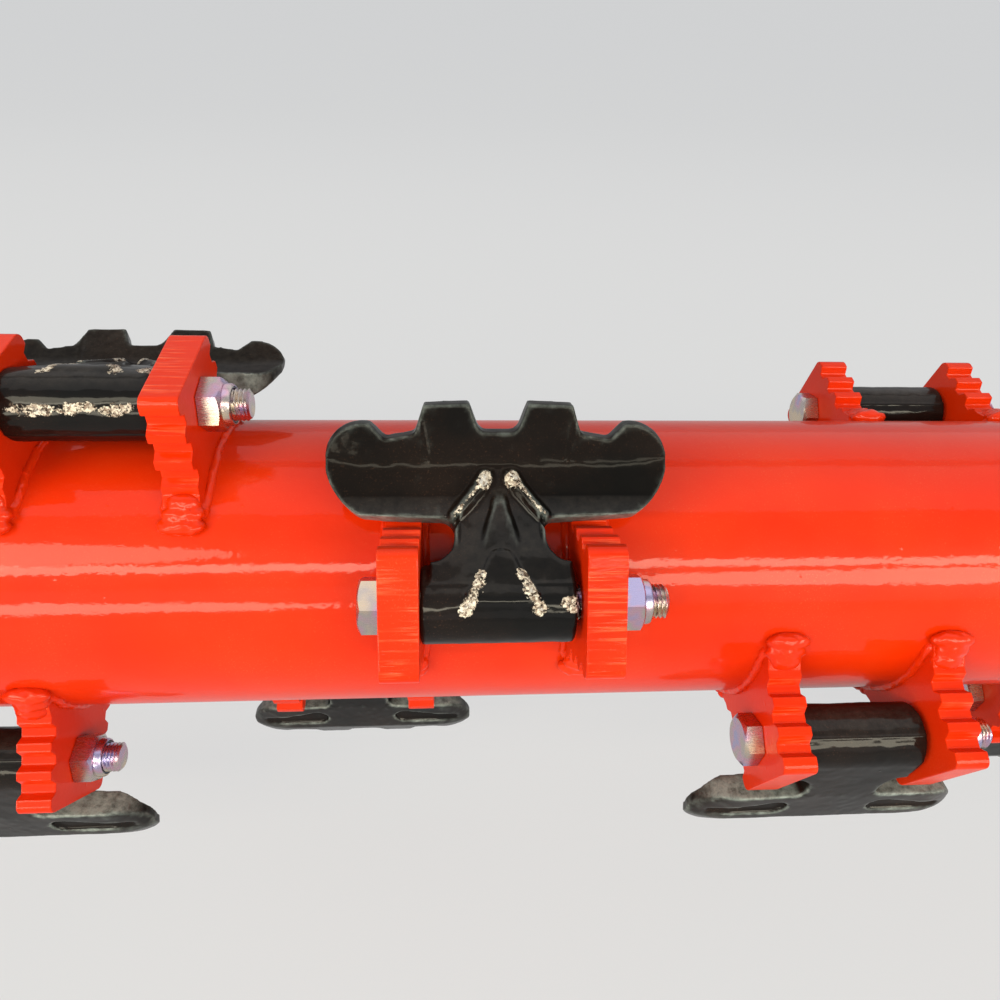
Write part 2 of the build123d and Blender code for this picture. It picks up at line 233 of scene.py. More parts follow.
def enamel(name, paint, deep_paint, dust_colour, gloss=0.30, peel=0.75, nibs=0.6, dustiness=0.3, coat=0.32,
           specular=0.05):
    """Enamel with dust on it. Returns the material, its tree, its shader and the sockets to add to:
    colour, roughness and bump."""
    made, tree, shader = material(name, Coat_Weight=coat, Coat_Roughness=0.03, Specular_IOR_Level=specular)
    where = own_coordinates(tree)
    sprayed = node(tree, "ShaderNodeGroup", {
        "Coordinates": where, "Paint": paint, "Deep paint": deep_paint, "Gloss": gloss, "Peel": peel,
        "Nibs": nibs}, node_tree=film).outputs
    dusty = node(tree, "ShaderNodeGroup", {
        "Coordinates": where, "Amount": dustiness}, node_tree=dust).outputs["Mask"]
    colour = mixed(tree, dusty, sprayed["Color"], dust_colour)
    rough = math_node(tree, "MULTIPLY_ADD", dusty, 0.5, sprayed["Roughness"])
    bump = node(tree, "ShaderNodeBump", {
        "Height": sprayed["Height"], "Distance": 0.00012, "Strength": 1.0}).outputs[0]
    tree.links.new(colour, shader.inputs["Base Color"])
    tree.links.new(rough, shader.inputs["Roughness"])
    both_normals(tree, bump, shader)
    return made, tree, shader, colour, rough, bump


ORANGE, DEEP_ORANGE, DUST = (0.60, 0.024, 0.0005, 1), (0.56, 0.018, 0.0005, 1), (0.56, 0.16, 0.06, 1)
orange_enamel = enamel("orange_enamel", ORANGE, DEEP_ORANGE, DUST)[0]


def vector(tree, **axes):
    """A vector with these X, Y and Z."""
    return node(tree, "ShaderNodeCombineXYZ", axes).outputs[0]


def painted(tree, shape, paint):
    """A shape with this material on it."""
    return node(tree, "GeometryNodeSetMaterial", {"Geometry": shape, "Material": paint}).outputs[0]


# Pipe: a ring whose section is the wall by the length
pipe, pipe_in, pipe_out = node_group(
    "pipe", "GeometryNodeTree",
    {"Outer radius": (NUMBER, 0.1), "Wall": (NUMBER, 0.01), "Length": (NUMBER, 1.0), "Start": (NUMBER, 0.0),
     "Sides": (INTEGER, 64), "Material": (PAINT, None)}, {"Pipe": MESH})
half_wall = math_node(pipe, "MULTIPLY", pipe_in["Wall"], 0.5)
wall_middle = math_node(pipe, "SUBTRACT", pipe_in["Outer radius"], half_wall)
ring = node(pipe, "GeometryNodeCurvePrimitiveCircle", {"Resolution": pipe_in["Sides"], "Radius": wall_middle})
wall_section = node(pipe, "GeometryNodeCurvePrimitiveQuadrilateral", {
    "Width": pipe_in["Wall"], "Height": pipe_in["Length"]})
swept = node(pipe, "GeometryNodeCurveToMesh", {
    "Curve": ring.outputs[0], "Profile Curve": wall_section.outputs[0]})
pipe_middle = math_node(pipe, "MULTIPLY_ADD", pipe_in["Length"], 0.5, pipe_in["Start"])
laid = node(pipe, "GeometryNodeTransform", {
    "Geometry": swept.outputs[0], "Rotation": (0, pi / 2, 0), "Translation": vector(pipe, X=pipe_middle)})
pipe.links.new(painted(pipe, laid.outputs[0], pipe_in["Material"]), pipe_out["Pipe"])

tube_low, tube_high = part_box("rotor_tube")
tube_radius = tube_high[1]
tube_wall = 0.0125
tube = grown("tube", pipe, Outer_radius=tube_radius, Wall=tube_wall, Length=tube_high[0] - tube_low[0],
             Start=tube_low[0], Sides=256, Material=orange_enamel)
shade(tube, 40)
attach(tube, "rotor")
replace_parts(tube, "rotor_tube")

# END DISCS AND STUB SHAFTS
# Each tube end is closed by a 20 mm steel disc, welded all round. A forged and turned stub
# shaft is bolted to the disc with eight M16 screws, and its journal is left bright.


def vector_math(tree, operation, values, result="Vector"):
    """The result of one Vector Math node."""
    return node(tree, "ShaderNodeVectorMath", values, operation=operation).outputs[result]


# Bead of weld metal laid along a curve: rippled, uneven and thicker where the torch stops
bead, bead_in, bead_out = node_group(
    "weld bead", "GeometryNodeTree",
    {"Path": (MESH, None), "Size": (NUMBER, 0.005), "Ripple": (NUMBER, 0.0004), "Lumps": (NUMBER, 0.001),
     "Seed": (NUMBER, 0.0)}, {"Bead": MESH})
bead_step, ripple_length = 0.0016, 0.0042
bead_path = node(bead, "GeometryNodeResampleCurve", {
    "Curve": bead_in["Path"], "Length": bead_step}, mode="LENGTH")
bead_along = node(bead, "GeometryNodeSplineParameter")
bead_kept = node(bead, "GeometryNodeCaptureAttribute", {"Geometry": bead_path.outputs[0]}, domain="POINT")
bead_kept.capture_items.new("FLOAT", "along")
bead.links.new(bead_along.outputs["Length"], bead_kept.inputs["along"])
bead_section = node(bead, "GeometryNodeCurvePrimitiveCircle", {"Resolution": 14, "Radius": bead_in["Size"]})
bead_mesh = node(bead, "GeometryNodeCurveToMesh", {
    "Curve": bead_kept.outputs[0], "Profile Curve": bead_section.outputs[0]})
ripple_turn = math_node(bead, "MULTIPLY", bead_kept.outputs["along"], tau / ripple_length)
ripple = math_node(bead, "MULTIPLY", math_node(bead, "SINE", ripple_turn), bead_in["Ripple"])
bead_place = vector_math(bead, "ADD", {
    0: node(bead, "GeometryNodeInputPosition").outputs[0],
    1: vector(bead, X=bead_in["Seed"], Y=bead_in["Seed"])})
bead_noise = noise_over(bead, bead_place, 95.0)
lump = math_node(bead, "MULTIPLY", math_node(bead, "SUBTRACT", bead_noise, 0.45), bead_in["Lumps"])
bead_push = vector_math(bead, "SCALE", {
    0: node(bead, "GeometryNodeInputNormal").outputs[0], "Scale": math_node(bead, "ADD", ripple, lump)})
beaded = node(bead, "GeometryNodeSetPosition", {"Geometry": bead_mesh.outputs[0], "Offset": bead_push})
bead.links.new(beaded.outputs[0], bead_out["Bead"])

# The bead round a tube end
round_weld, round_in, round_out = node_group(
    "round weld", "GeometryNodeTree",
    {"Radius": (NUMBER, 0.1), "Place": (NUMBER, 0.0), "Size": (NUMBER, 0.005), "Seed": (NUMBER, 0.0),
     "Material": (PAINT, None)}, {"Weld": MESH})
round_path = node(round_weld, "GeometryNodeTransform", {
    "Geometry": node(round_weld, "GeometryNodeCurvePrimitiveCircle", {
        "Resolution": 180, "Radius": round_in["Radius"]}).outputs[0],
    "Rotation": (0, pi / 2, 0), "Translation": vector(round_weld, X=round_in["Place"])})
round_bead = node(round_weld, "GeometryNodeGroup", {
    "Path": round_path.outputs[0], "Size": round_in["Size"], "Seed": round_in["Seed"],
    "Ripple": 0.0004, "Lumps": 0.0018}, node_tree=bead)
round_weld.links.new(painted(round_weld, round_bead.outputs[0], round_in["Material"]), round_out["Weld"])

# how thick the bead is, and how far its middle lies over the tube and along it from the disc
disc_weld_size, disc_weld_over, disc_weld_off = 0.0045, 0.0025, 0.0022
for side, disc_face, inward in (("left", tube_low[0], 1), ("right", tube_high[0], -1)):
    weld = grown(f"disc_weld_{side}", round_weld, Radius=tube_radius + disc_weld_over,
                 Place=disc_face + inward * disc_weld_off, Size=disc_weld_size, Seed=float(inward),
                 Material=orange_enamel)
    shade(weld, 60)
    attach(weld, "rotor")
    frame["nodes"][f"end_disc_{side}"].data.materials[0] = orange_enamel


def turned(name, stations, sides, closed=False):
    """Object of rings round X. A station is its place along X and its radius, each a number or
    a function of the angle. Closed joins the last ring to the first, else the ends are capped."""
    rings = []
    form = bmesh.new()
    for along, radius in stations:
        ring = []
        for side in range(sides):
            turn = tau * side / sides
            x = along(turn) if callable(along) else along
            r = radius(turn) if callable(radius) else radius
            ring.append(form.verts.new((x, r * cos(turn), r * sin(turn))))
        rings.append(ring)
    pairs = list(zip(rings, rings[1:] + rings[:1])) if closed else list(zip(rings, rings[1:]))
    for first, second in pairs:
        for side in range(sides):
            after = (side + 1) % sides
            form.faces.new((first[side], first[after], second[after], second[side]))
    if not closed:
        form.faces.new(rings[0])
        form.faces.new(rings[-1])
    bmesh.ops.recalc_face_normals(form, faces=form.faces)
    mesh = bpy.data.meshes.new(name)
    form.to_mesh(mesh)
    form.free()
    return link_object(name, mesh)


def hexagon(across):
    """Radius of a hexagon of this width across its flats, at each angle."""
    def radius(turn):
        return across / 2 / cos((turn + pi / 6) % (pi / 3) - pi / 6)
    return radius


def hex_head(top, under, across):
    """Stations of a bolt head or nut from its chamfered top to its washer face."""
    rim = 0.475 * across
    flats = hexagon(across)
    into = 1 if under > top else -1

    def chamfer(turn):
        return top + into * (0.0003 + (flats(turn) - rim) * 0.577)
    return [(top, 0.45 * across), (top, rim), (chamfer, flats), (under - into * 0.0005, flats),
            (under, 0.465 * across)]


def turned_by(tree, **axes):
    """A rotation of these turns about X, Y and Z."""
    return node(tree, "FunctionNodeEulerToRotation", {0: vector(tree, **axes)}).outputs[0]


def random_share(tree, seed):
    """A number from 0 to 1 that each point draws for itself."""
    return node(tree, "FunctionNodeRandomValue", {2: 0.0, 3: 1.0, "Seed": seed}, data_type="FLOAT").outputs[1]


def parts_on(tree, points, part, turn, paint):
    """A pattern object's copies on these points, as one mesh with this material."""
    copies = node(tree, "GeometryNodeInstanceOnPoints", {
        "Points": points, "Rotation": turn,
        "Instance": node(tree, "GeometryNodeObjectInfo", {"Object": part}).outputs["Geometry"]})
    real = node(tree, "GeometryNodeRealizeInstances", {"Geometry": copies.outputs[0]})
    return painted(tree, real.outputs[0], paint)


# Circle of equal parts that face along X
circle_set, circle_in, circle_out = node_group(
    "parts on a circle", "GeometryNodeTree",
    {"Part": (PART, None), "Count": (INTEGER, 8), "Radius": (NUMBER, 0.06), "Place": (NUMBER, 0.0),
     "Turn": (NUMBER, 0.0), "Facing": (NUMBER, 1.0), "Material": (PAINT, None)}, {"Parts": MESH})
circle_index = node(circle_set, "GeometryNodeInputIndex").outputs[0]
circle_step = math_node(circle_set, "DIVIDE", tau, circle_in["Count"])
circle_turn = math_node(circle_set, "MULTIPLY_ADD", circle_index, circle_step, circle_in["Turn"])
circle_points = node(circle_set, "GeometryNodeMeshLine", {
    "Count": circle_in["Count"], "Start Location": (0, 0, 0), "Offset": (0, 0, 0)})
circle_y, circle_z = [
    math_node(circle_set, "MULTIPLY", math_node(circle_set, wave, circle_turn), circle_in["Radius"])
    for wave in ("COSINE", "SINE")]
circle_placed = node(circle_set, "GeometryNodeSetPosition", {
    "Geometry": circle_points.outputs[0],
    "Position": vector(circle_set, X=circle_in["Place"], Y=circle_y, Z=circle_z)})
away = math_node(circle_set, "SUBTRACT", 1.0, circle_in["Facing"])
facing_turn = math_node(circle_set, "MULTIPLY", away, pi / 2)
# each part is also turned a little on its own axis, as screws end up when they are tightened
circle_rotation = turned_by(circle_set, X=random_share(circle_set, 3), Z=facing_turn)
circle_set.links.new(parts_on(
    circle_set, circle_placed.outputs[0], circle_in["Part"], circle_rotation, circle_in["Material"]),
    circle_out["Parts"])

shaft_screw_head, shaft_screw_across, shaft_screw_circle = 0.010, 0.024, 0.063
shaft_flange_thick = 0.022
shaft_screw = turned("shaft_screw_pattern", hex_head(shaft_screw_head, 0.0, shaft_screw_across), 48)
for side, outward in (("left", -1), ("right", 1)):
    low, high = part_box(f"end_disc_{side}")
    disc_face = high[0] if outward > 0 else low[0]
    screws = grown(f"shaft_screws_{side}", circle_set, Part=shaft_screw, Count=8, Radius=shaft_screw_circle,
                   Place=disc_face + outward * shaft_flange_thick, Turn=radians(22.5), Facing=float(outward),
                   Material=orange_enamel)
    shade(screws, 30)
    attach(screws, "rotor")
drop(shaft_screw)

# Turned steel: fine tool rings round the axis, stained where it has been handled and oiled
shaft_steel, steel_tree, steel_shader = material("turned_steel", Metallic=1.0)
steel_where = own_coordinates(steel_tree)
steel_along = node(steel_tree, "ShaderNodeSeparateXYZ", {0: steel_where}).outputs["X"]
tool_feed = 0.0004
tool_rings = math_node(steel_tree, "SINE", math_node(steel_tree, "MULTIPLY", steel_along, tau / tool_feed))
stain = from_range(steel_tree, noise_over(steel_tree, steel_where, 30.0, 6.0), 0.52, 0.72)
steel_colour = mixed(steel_tree, stain, (0.50, 0.49, 0.47, 1), (0.30, 0.24, 0.19, 1))
steel_rough = math_node(steel_tree, "MULTIPLY_ADD", stain, 0.25, 0.24)
steel_bump = node(steel_tree, "ShaderNodeBump", {"Height": tool_rings, "Distance": 0.00001}).outputs[0]
for value, socket in ((steel_colour, "Base Color"), (steel_rough, "Roughness"), (steel_bump, "Normal")):
    steel_tree.links.new(value, steel_shader.inputs[socket])
for name in ("stub_shaft_left", "stub_shaft_right", "bearing_left", "bearing_right"):
    frame["nodes"][name].data.materials[0] = shaft_steel

# BEARING HOUSINGS
# Grey iron castings painted black, with a turned cover held by six socket screws and a grease
# nipple on top. They bolt to the side plates and stay still while the rotor turns.


def cast_paint(tree, shader, colour, rough, bump):
    """Adds the sand grain of a casting under the paint."""
    cast = node(tree, "ShaderNodeBump", {
        "Height": noise_over(tree, own_coordinates(tree), 520.0, 3.0), "Distance": 0.0006, "Strength": 0.6,
        "Normal": bump})
    both_normals(tree, cast.outputs[0], shader)


BLACK, DEEP_BLACK = (0.005, 0.0042, 0.004, 1), (0.0025, 0.0025, 0.0025, 1)
BROWN_DUST = (0.12, 0.060, 0.038, 1)
housing_paint, *housing_sockets = enamel("housing_paint", BLACK, DEEP_BLACK, BROWN_DUST, gloss=0.34,
                                         dustiness=0.5, coat=0.15)
cast_paint(*housing_sockets)
cover_screw = turned("cover_screw_pattern", [
    (0.0040, 0.0005), (0.0040, 0.0033), (0.0072, 0.0034), (0.0077, 0.0058), (0.0072, 0.0065),
    (0.0, 0.0065)], 24)
nipple_pattern = turned("nipple_pattern", [
    (0.0, 0.0050), (0.0035, 0.0050), (0.0037, 0.0026), (0.0062, 0.0026), (0.0068, 0.0020), (0.0080, 0.0020),
    (0.0090, 0.0032), (0.0106, 0.0032), (0.0116, 0.0022), (0.0120, 0.0009)], 20)
nipple_pattern.data.transform(Matrix.Rotation(-pi / 2, 4, "Y"))


def colour_steps(tree, value, steps):
    """A colour that runs through these steps as the value grows."""
    made = node(tree, "ShaderNodeValToRGB", {0: value})
    for place, tint in steps:
        made.color_ramp.elements.new(place).color = tint
    for end in (0, -1):
        made.color_ramp.elements.remove(made.color_ramp.elements[end])
    return made.outputs[0]


# Zinc plate: it shimmers from grey through purple pink to straw, over fine drawing lines
zinc_plate, zinc_tree, zinc_shader = material("zinc_plate", Metallic=1.0)
zinc_where = own_coordinates(zinc_tree)
zinc_tint = colour_steps(zinc_tree, noise_over(zinc_tree, zinc_where, 55.0), (
    (0.34, (0.38, 0.35, 0.54, 1)), (0.43, (0.54, 0.34, 0.42, 1)), (0.52, (0.44, 0.39, 0.37, 1)),
    (0.64, (0.58, 0.47, 0.35, 1))))
zinc_lines = noise_over(zinc_tree, vector_math(
    zinc_tree, "MULTIPLY", {0: zinc_where, 1: (0.12, 1.0, 1.0)}), 1500.0)
zinc_rough = math_node(zinc_tree, "MULTIPLY_ADD", zinc_lines, 0.14, 0.20)
zinc_bump = node(zinc_tree, "ShaderNodeBump", {"Height": zinc_lines, "Distance": 0.000014}).outputs[0]
for value, socket in ((zinc_tint, "Base Color"), (zinc_rough, "Roughness"), (zinc_bump, "Normal")):
    zinc_tree.links.new(value, zinc_shader.inputs[socket])

cover_boss, cover_screw_circle = 0.008, 0.063
barrel_radius, nipple_in, nipple_sunk = 0.071, 0.018, 0.0005
for side, outward in (("left", -1), ("right", 1)):
    for piece in ("bearing_housing", "bearing_cover"):
        frame["nodes"][f"{piece}_{side}"].data.materials[0] = housing_paint
    low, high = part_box(f"bearing_cover_{side}")
    cover_face = (high[0] if outward > 0 else low[0]) - outward * cover_boss
    screws = grown(f"cover_screws_{side}", circle_set, Part=cover_screw, Count=6, Radius=cover_screw_circle,
                   Place=cover_face, Turn=radians(30), Facing=float(outward), Material=zinc_plate)
    shade(screws, 30)
    nipple = link_object(f"grease_nipple_{side}", nipple_pattern.data.copy())
    nipple.data.transform(Matrix.Translation((
        cover_face - outward * nipple_in, 0, barrel_radius - nipple_sunk)))
    nipple.data.materials.append(zinc_plate)
    shade(nipple, 30)
    for piece in (screws, nipple):
        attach(piece, "root")
drop(cover_screw)
drop(nipple_pattern)

# LUGS
# Each hammer hangs between two lugs, flame-cut from 22 mm plate. Their flanks are cut into
# three square teeth that chop what the hammers throw, and each lug is welded all round.
bolt_places = {
    joint["child"]: Vector(joint["pos_m"]) for joint in frame["joints"] if joint["parent"] == "rotor"}


def tilt_of(place):
    """Turn about X that takes a part drawn upright to its row on the rotor."""
    return pi / 2 - atan2(place.z, -place.y)


def rows_of(line):
    """Names of the rows of one helix."""
    return sorted(body for body in bolt_places if body.startswith(f"hammer_{line}"))


# One part in every row of a helix. The rows are points on the axis, each with its tilt.
helix, helix_in, helix_out = node_group(
    "part in every row", "GeometryNodeTree",
    {"Part": (PART, None), "Rows": (PART, None), "Lift": (NUMBER, 0.0), "Own turn": (NUMBER, 0.0),
     "Seed": (INTEGER, 1), "Material": (PAINT, None)}, {"Parts": MESH})
helix_points = node(helix, "GeometryNodeObjectInfo", {"Object": helix_in["Rows"]})
helix_tilt = node(helix, "GeometryNodeInputNamedAttribute", {
    "Name": "tilt"}, data_type="FLOAT").outputs["Attribute"]
helix_back = math_node(helix, "MULTIPLY", helix_in["Lift"], -1.0)
helix_lift = vector(
    helix, Y=math_node(helix, "MULTIPLY", math_node(helix, "SINE", helix_tilt), helix_back),
    Z=math_node(helix, "MULTIPLY", math_node(helix, "COSINE", helix_tilt), helix_in["Lift"]))
helix_lifted = node(helix, "GeometryNodeSetPosition", {
    "Geometry": helix_points.outputs["Geometry"], "Offset": helix_lift})
# bolts and nuts end up turned any way round when they are tightened
helix_turn = math_node(
    helix, "MULTIPLY_ADD", random_share(helix, helix_in["Seed"]), helix_in["Own turn"], helix_tilt)
helix.links.new(parts_on(
    helix, helix_lifted.outputs[0], helix_in["Part"], turned_by(helix, X=helix_turn), helix_in["Material"]),
    helix_out["Parts"])

row_points = {}
for line in "ab":
    places = [bolt_places[row] for row in rows_of(line)]
    row_mesh = bpy.data.meshes.new(f"rows_{line}")
    row_mesh.from_pydata([(place.x, 0, 0) for place in places], [], [])
    tilts = row_mesh.attributes.new("tilt", "FLOAT", "POINT").data
    tilts.foreach_set("value", [tilt_of(place) for place in places])
    row_points[line] = link_object(f"rows_{line}", row_mesh)


def in_rows(name, part, finish, sharp=0, lift=0.0, own_turn=0.0):
    """Puts a part drawn upright in the rows of both helices, one object for each helix."""
    made = []
    for line, points in row_points.items():
        thing = grown(f"{name}_{line}", helix, Part=part, Rows=points, Lift=lift, Own_turn=own_turn,
                      Seed=ord(line), Material=finish)
        if sharp:
            shade(thing, sharp)
        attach(thing, "rotor")
        made.append(thing)
    drop(part)
    return made


def drawn_copy(name, cad_node, back):
    """A merged copy of a CAD node, moved back to how it is drawn, with its flat faces joined."""
    form = bmesh.new()
    form.from_mesh(frame["nodes"][cad_node].data)
    bmesh.ops.transform(form, matrix=back, verts=form.verts)
    bmesh.ops.remove_doubles(form, verts=form.verts, dist=2e-6)
    bmesh.ops.dissolve_limit(form, angle_limit=radians(1), verts=form.verts, edges=form.edges)
    mesh = bpy.data.meshes.new(name)
    form.to_mesh(mesh)
    form.free()
    return link_object(name, mesh)


middle_row = bolt_places["hammer_a4"]
lug_pattern = drawn_copy("lug_pattern", "lugs_a4", Matrix.Rotation(
    -tilt_of(middle_row), 4, "X") @ Matrix.Translation((-middle_row.x, 0, 0)))
lug_edge = 0.0008
form = bmesh.new()
form.from_mesh(lug_pattern.data)
hard = [edge for edge in form.edges
        if len(edge.link_faces) == 2 and edge.calc_face_angle() > radians(24)]
bmesh.ops.bevel(form, geom=hard, offset=lug_edge, segments=2, profile=0.6, affect="EDGES",
                clamp_overlap=True)
form.to_mesh(lug_pattern.data)
form.free()
for face in lug_pattern.data.polygons:
    face.use_smooth = False

# The same enamel over torch drag lines, which cross the thickness of the plate
lug_enamel, lug_tree, lug_shader, lug_colour, _, lug_bump = enamel(
    "orange_enamel_on_cut_plate", ORANGE, DEEP_ORANGE, DUST, nibs=0.8, coat=0.18)
lug_where = own_coordinates(lug_tree)
drag_where = vector_math(lug_tree, "MULTIPLY", {0: lug_where, 1: (0.04, 1.0, 1.0)})
drag_line = from_range(lug_tree, noise_over(lug_tree, drag_where, 620.0, 3.0, Distortion=0.3), 0.50, 0.66)
drag_patch = from_range(lug_tree, noise_over(lug_tree, lug_where, 38.0, 3.0), 0.44, 0.64)
# the lines show most on the edges that face away from the axis
outward = vector_math(lug_tree, "NORMALIZE", {
    0: vector_math(lug_tree, "MULTIPLY", {0: lug_where, 1: (0, 1, 1)})})
facing_out = vector_math(lug_tree, "DOT_PRODUCT", {
    0: outward, 1: node(lug_tree, "ShaderNodeNewGeometry").outputs["Normal"]}, "Value")
on_end = from_range(lug_tree, facing_out, 0.80, 0.92, 0.12)
drag = math_node(lug_tree, "MULTIPLY", math_node(
    lug_tree, "MULTIPLY_ADD", drag_patch, 0.85, 0.10), math_node(lug_tree, "MULTIPLY", drag_line, on_end))
drag_bump = node(lug_tree, "ShaderNodeBump", {
    "Height": drag, "Distance": 0.00026, "Strength": 0.8, "Normal": lug_bump}).outputs[0]
# painted highlight: the crests of the lines are painted a lighter orange where they catch the light, and the
# film is thin there too
drag_line_sheen = mixed(lug_tree, math_node(lug_tree, "MULTIPLY", drag, 0.50), lug_colour, (0.90, 0.17, 0.070, 1))
lug_tree.links.new(drag_line_sheen, lug_shader.inputs["Base Color"])
both_normals(lug_tree, drag_bump, lug_shader)
for line, lug_pairs in zip("ab", in_rows("lug_pairs", lug_pattern, lug_enamel)):
    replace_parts(lug_pairs, *(row.replace("hammer", "lugs") for row in rows_of(line)))

# The weld round one lug's foot: a bead along each side of the plate, and at each end a
# folded pad of weld metal that runs out onto the tube
lug_weld, foot_in, foot_out = node_group(
    "lug weld", "GeometryNodeTree",
    {"Place": (NUMBER, 0.0), "Plate": (NUMBER, 0.022), "Half length": (NUMBER, 0.05),
     "Tube radius": (NUMBER, 0.1), "Size": (NUMBER, 0.0034), "Seed": (NUMBER, 0.0)}, {"Weld": MESH})
foot_outline = node(lug_weld, "GeometryNodeCurvePrimitiveQuadrilateral", {
    "Width": math_node(lug_weld, "MULTIPLY_ADD", foot_in["Size"], 0.7, foot_in["Plate"]),
    "Height": math_node(lug_weld, "MULTIPLY", foot_in["Half length"], 2.0)})
foot_round = node(lug_weld, "GeometryNodeFilletCurve", {
    "Curve": foot_outline.outputs[0], "Count": 5, "Radius": 0.005}, mode="POLY")
foot_steps = node(lug_weld, "GeometryNodeResampleCurve", {
    "Curve": foot_round.outputs[0], "Length": 0.003}, mode="LENGTH")
foot_flat = node(lug_weld, "ShaderNodeSeparateXYZ", {
    0: node(lug_weld, "GeometryNodeInputPosition").outputs[0]}).outputs


def on_tube(tree, across, along, radius):
    """A flat place wrapped round the tube: across is along X, along is round the tube."""
    turn = math_node(tree, "DIVIDE", along, radius)
    return vector(tree, X=across, Y=math_node(tree, "MULTIPLY", math_node(tree, "SINE", turn), radius),
                  Z=math_node(tree, "MULTIPLY", math_node(tree, "COSINE", turn), radius))


foot_wrapped = node(lug_weld, "GeometryNodeSetPosition", {
    "Geometry": foot_steps.outputs[0],
    "Position": on_tube(lug_weld, foot_flat["X"], foot_flat["Y"], foot_in["Tube radius"])})
foot_bead = node(lug_weld, "GeometryNodeGroup", {
    "Path": foot_wrapped.outputs[0], "Size": foot_in["Size"], "Seed": foot_in["Seed"],
    "Ripple": 0.0002, "Lumps": 0.0010}, node_tree=bead)
# Three broad drops of weld metal run together from the last tooth down to the tube, at both
# ends. They stay below the blade, which comes down to 108 mm from the axis at its stops.
pad_index = node(lug_weld, "GeometryNodeInputIndex").outputs[0]
pad_end = math_node(lug_weld, "MULTIPLY_ADD", math_node(lug_weld, "MODULO", pad_index, 2.0), 2.0, -1.0)
pad_row = math_node(lug_weld, "FLOOR", math_node(lug_weld, "MULTIPLY", pad_index, 0.5))
pad_draw = node(lug_weld, "FunctionNodeRandomValue", {
    0: (-0.0012, 0.0, 0.0), 1: (0.0012, 0.12, 1.0), "Seed": foot_in["Seed"]}, data_type="FLOAT_VECTOR")
pad_random = node(lug_weld, "ShaderNodeSeparateXYZ", {0: pad_draw.outputs[0]}).outputs
pad_down = math_node(lug_weld, "MULTIPLY_ADD", pad_row, 0.42, pad_random["Y"])
# where the top and the toe of a pad lie: along the plate from its middle, and from the axis
pad_top, pad_toe = Vector((0.0440, 0.0997)), Vector((0.0560, 0.0880))
pad_along = from_range(lug_weld, pad_down, 0.0, 1.0, pad_top.x, pad_toe.x)
pad_out = from_range(lug_weld, pad_down, 0.0, 1.0, pad_top.y, pad_toe.y)
pad_points = node(lug_weld, "GeometryNodeSetPosition", {
    "Geometry": node(lug_weld, "GeometryNodeMeshLine", {"Count": 6}).outputs[0],
    "Position": vector(lug_weld, X=pad_random["X"], Y=math_node(lug_weld, "MULTIPLY", pad_along, pad_end),
                       Z=pad_out)})
pad_wide = from_range(lug_weld, pad_random["Z"], 0.0, 1.0, 0.0116, 0.0136)
pad_spread = math_node(lug_weld, "MULTIPLY", pad_wide, math_node(
    lug_weld, "MULTIPLY_ADD", pad_row, 0.11, 0.93))
pad_long, pad_thick = 0.0072, 0.0064
pad_parts = node(lug_weld, "GeometryNodeInstanceOnPoints", {
    "Points": pad_points.outputs[0],
    "Instance": node(lug_weld, "GeometryNodeMeshIcoSphere", {"Radius": 1.0, "Subdivisions": 3}).outputs[0],
    "Scale": vector(lug_weld, X=pad_spread, Y=pad_long, Z=pad_thick)})
pad_real = node(lug_weld, "GeometryNodeRealizeInstances", {"Geometry": pad_parts.outputs[0]})
foot_joined = node(lug_weld, "GeometryNodeJoinGeometry")
for part in (pad_real, foot_bead):
    lug_weld.links.new(part.outputs[0], foot_joined.inputs[0])
foot_melt = node(lug_weld, "GeometryNodeMeshToVolume", {
    "Mesh": foot_joined.outputs[0], "Voxel Size": 0.0008, "Interior Band Width": 0.004},
    resolution_mode="VOXEL_SIZE")
foot_skin = node(lug_weld, "GeometryNodeVolumeToMesh", {
    "Volume": foot_melt.outputs[0], "Voxel Size": 0.0012, "Threshold": 0.1}, resolution_mode="VOXEL_SIZE")
foot_fold = node(lug_weld, "ShaderNodeTexNoise", {"Scale": 85.0, "Detail": 1.0, "Distortion": 1.8})
foot_push = vector_math(lug_weld, "SCALE", {
    0: node(lug_weld, "GeometryNodeInputNormal").outputs[0],
    "Scale": math_node(lug_weld, "MULTIPLY_ADD", foot_fold.outputs["Fac"], 0.0030, -0.0016)})
foot_folded = node(lug_weld, "GeometryNodeSetPosition", {
    "Geometry": foot_skin.outputs[0], "Offset": foot_push})
foot_placed = node(lug_weld, "GeometryNodeTransform", {
    "Geometry": foot_folded.outputs[0], "Translation": vector(lug_weld, X=foot_in["Place"])})
lug_weld.links.new(foot_placed.outputs[0], foot_out["Weld"])

weld_pair, pair_in, pair_out = node_group(
    "weld pair", "GeometryNodeTree", {"Spacing": (NUMBER, 0.1), "Tube radius": (NUMBER, 0.1)},
    {"Welds": MESH})
pair_joined = node(weld_pair, "GeometryNodeJoinGeometry")
for side in (-1, 1):
    one = node(weld_pair, "GeometryNodeGroup", {
        "Place": math_node(weld_pair, "MULTIPLY", pair_in["Spacing"], side / 2),
        "Tube radius": pair_in["Tube radius"], "Seed": 3.0 + side}, node_tree=lug_weld)
    weld_pair.links.new(one.outputs[0], pair_joined.inputs[0])
weld_pair.links.new(pair_joined.outputs[0], pair_out["Welds"])
lug_spacing, weld_faces_kept = 0.112, 0.36
weld_pattern = grown("weld_pattern", weld_pair, Spacing=lug_spacing, Tube_radius=tube_radius)
weld_pattern.modifiers.new("thinned", "DECIMATE").ratio = weld_faces_kept
settled(weld_pattern)
in_rows("lug_welds", weld_pattern, orange_enamel, sharp=60)

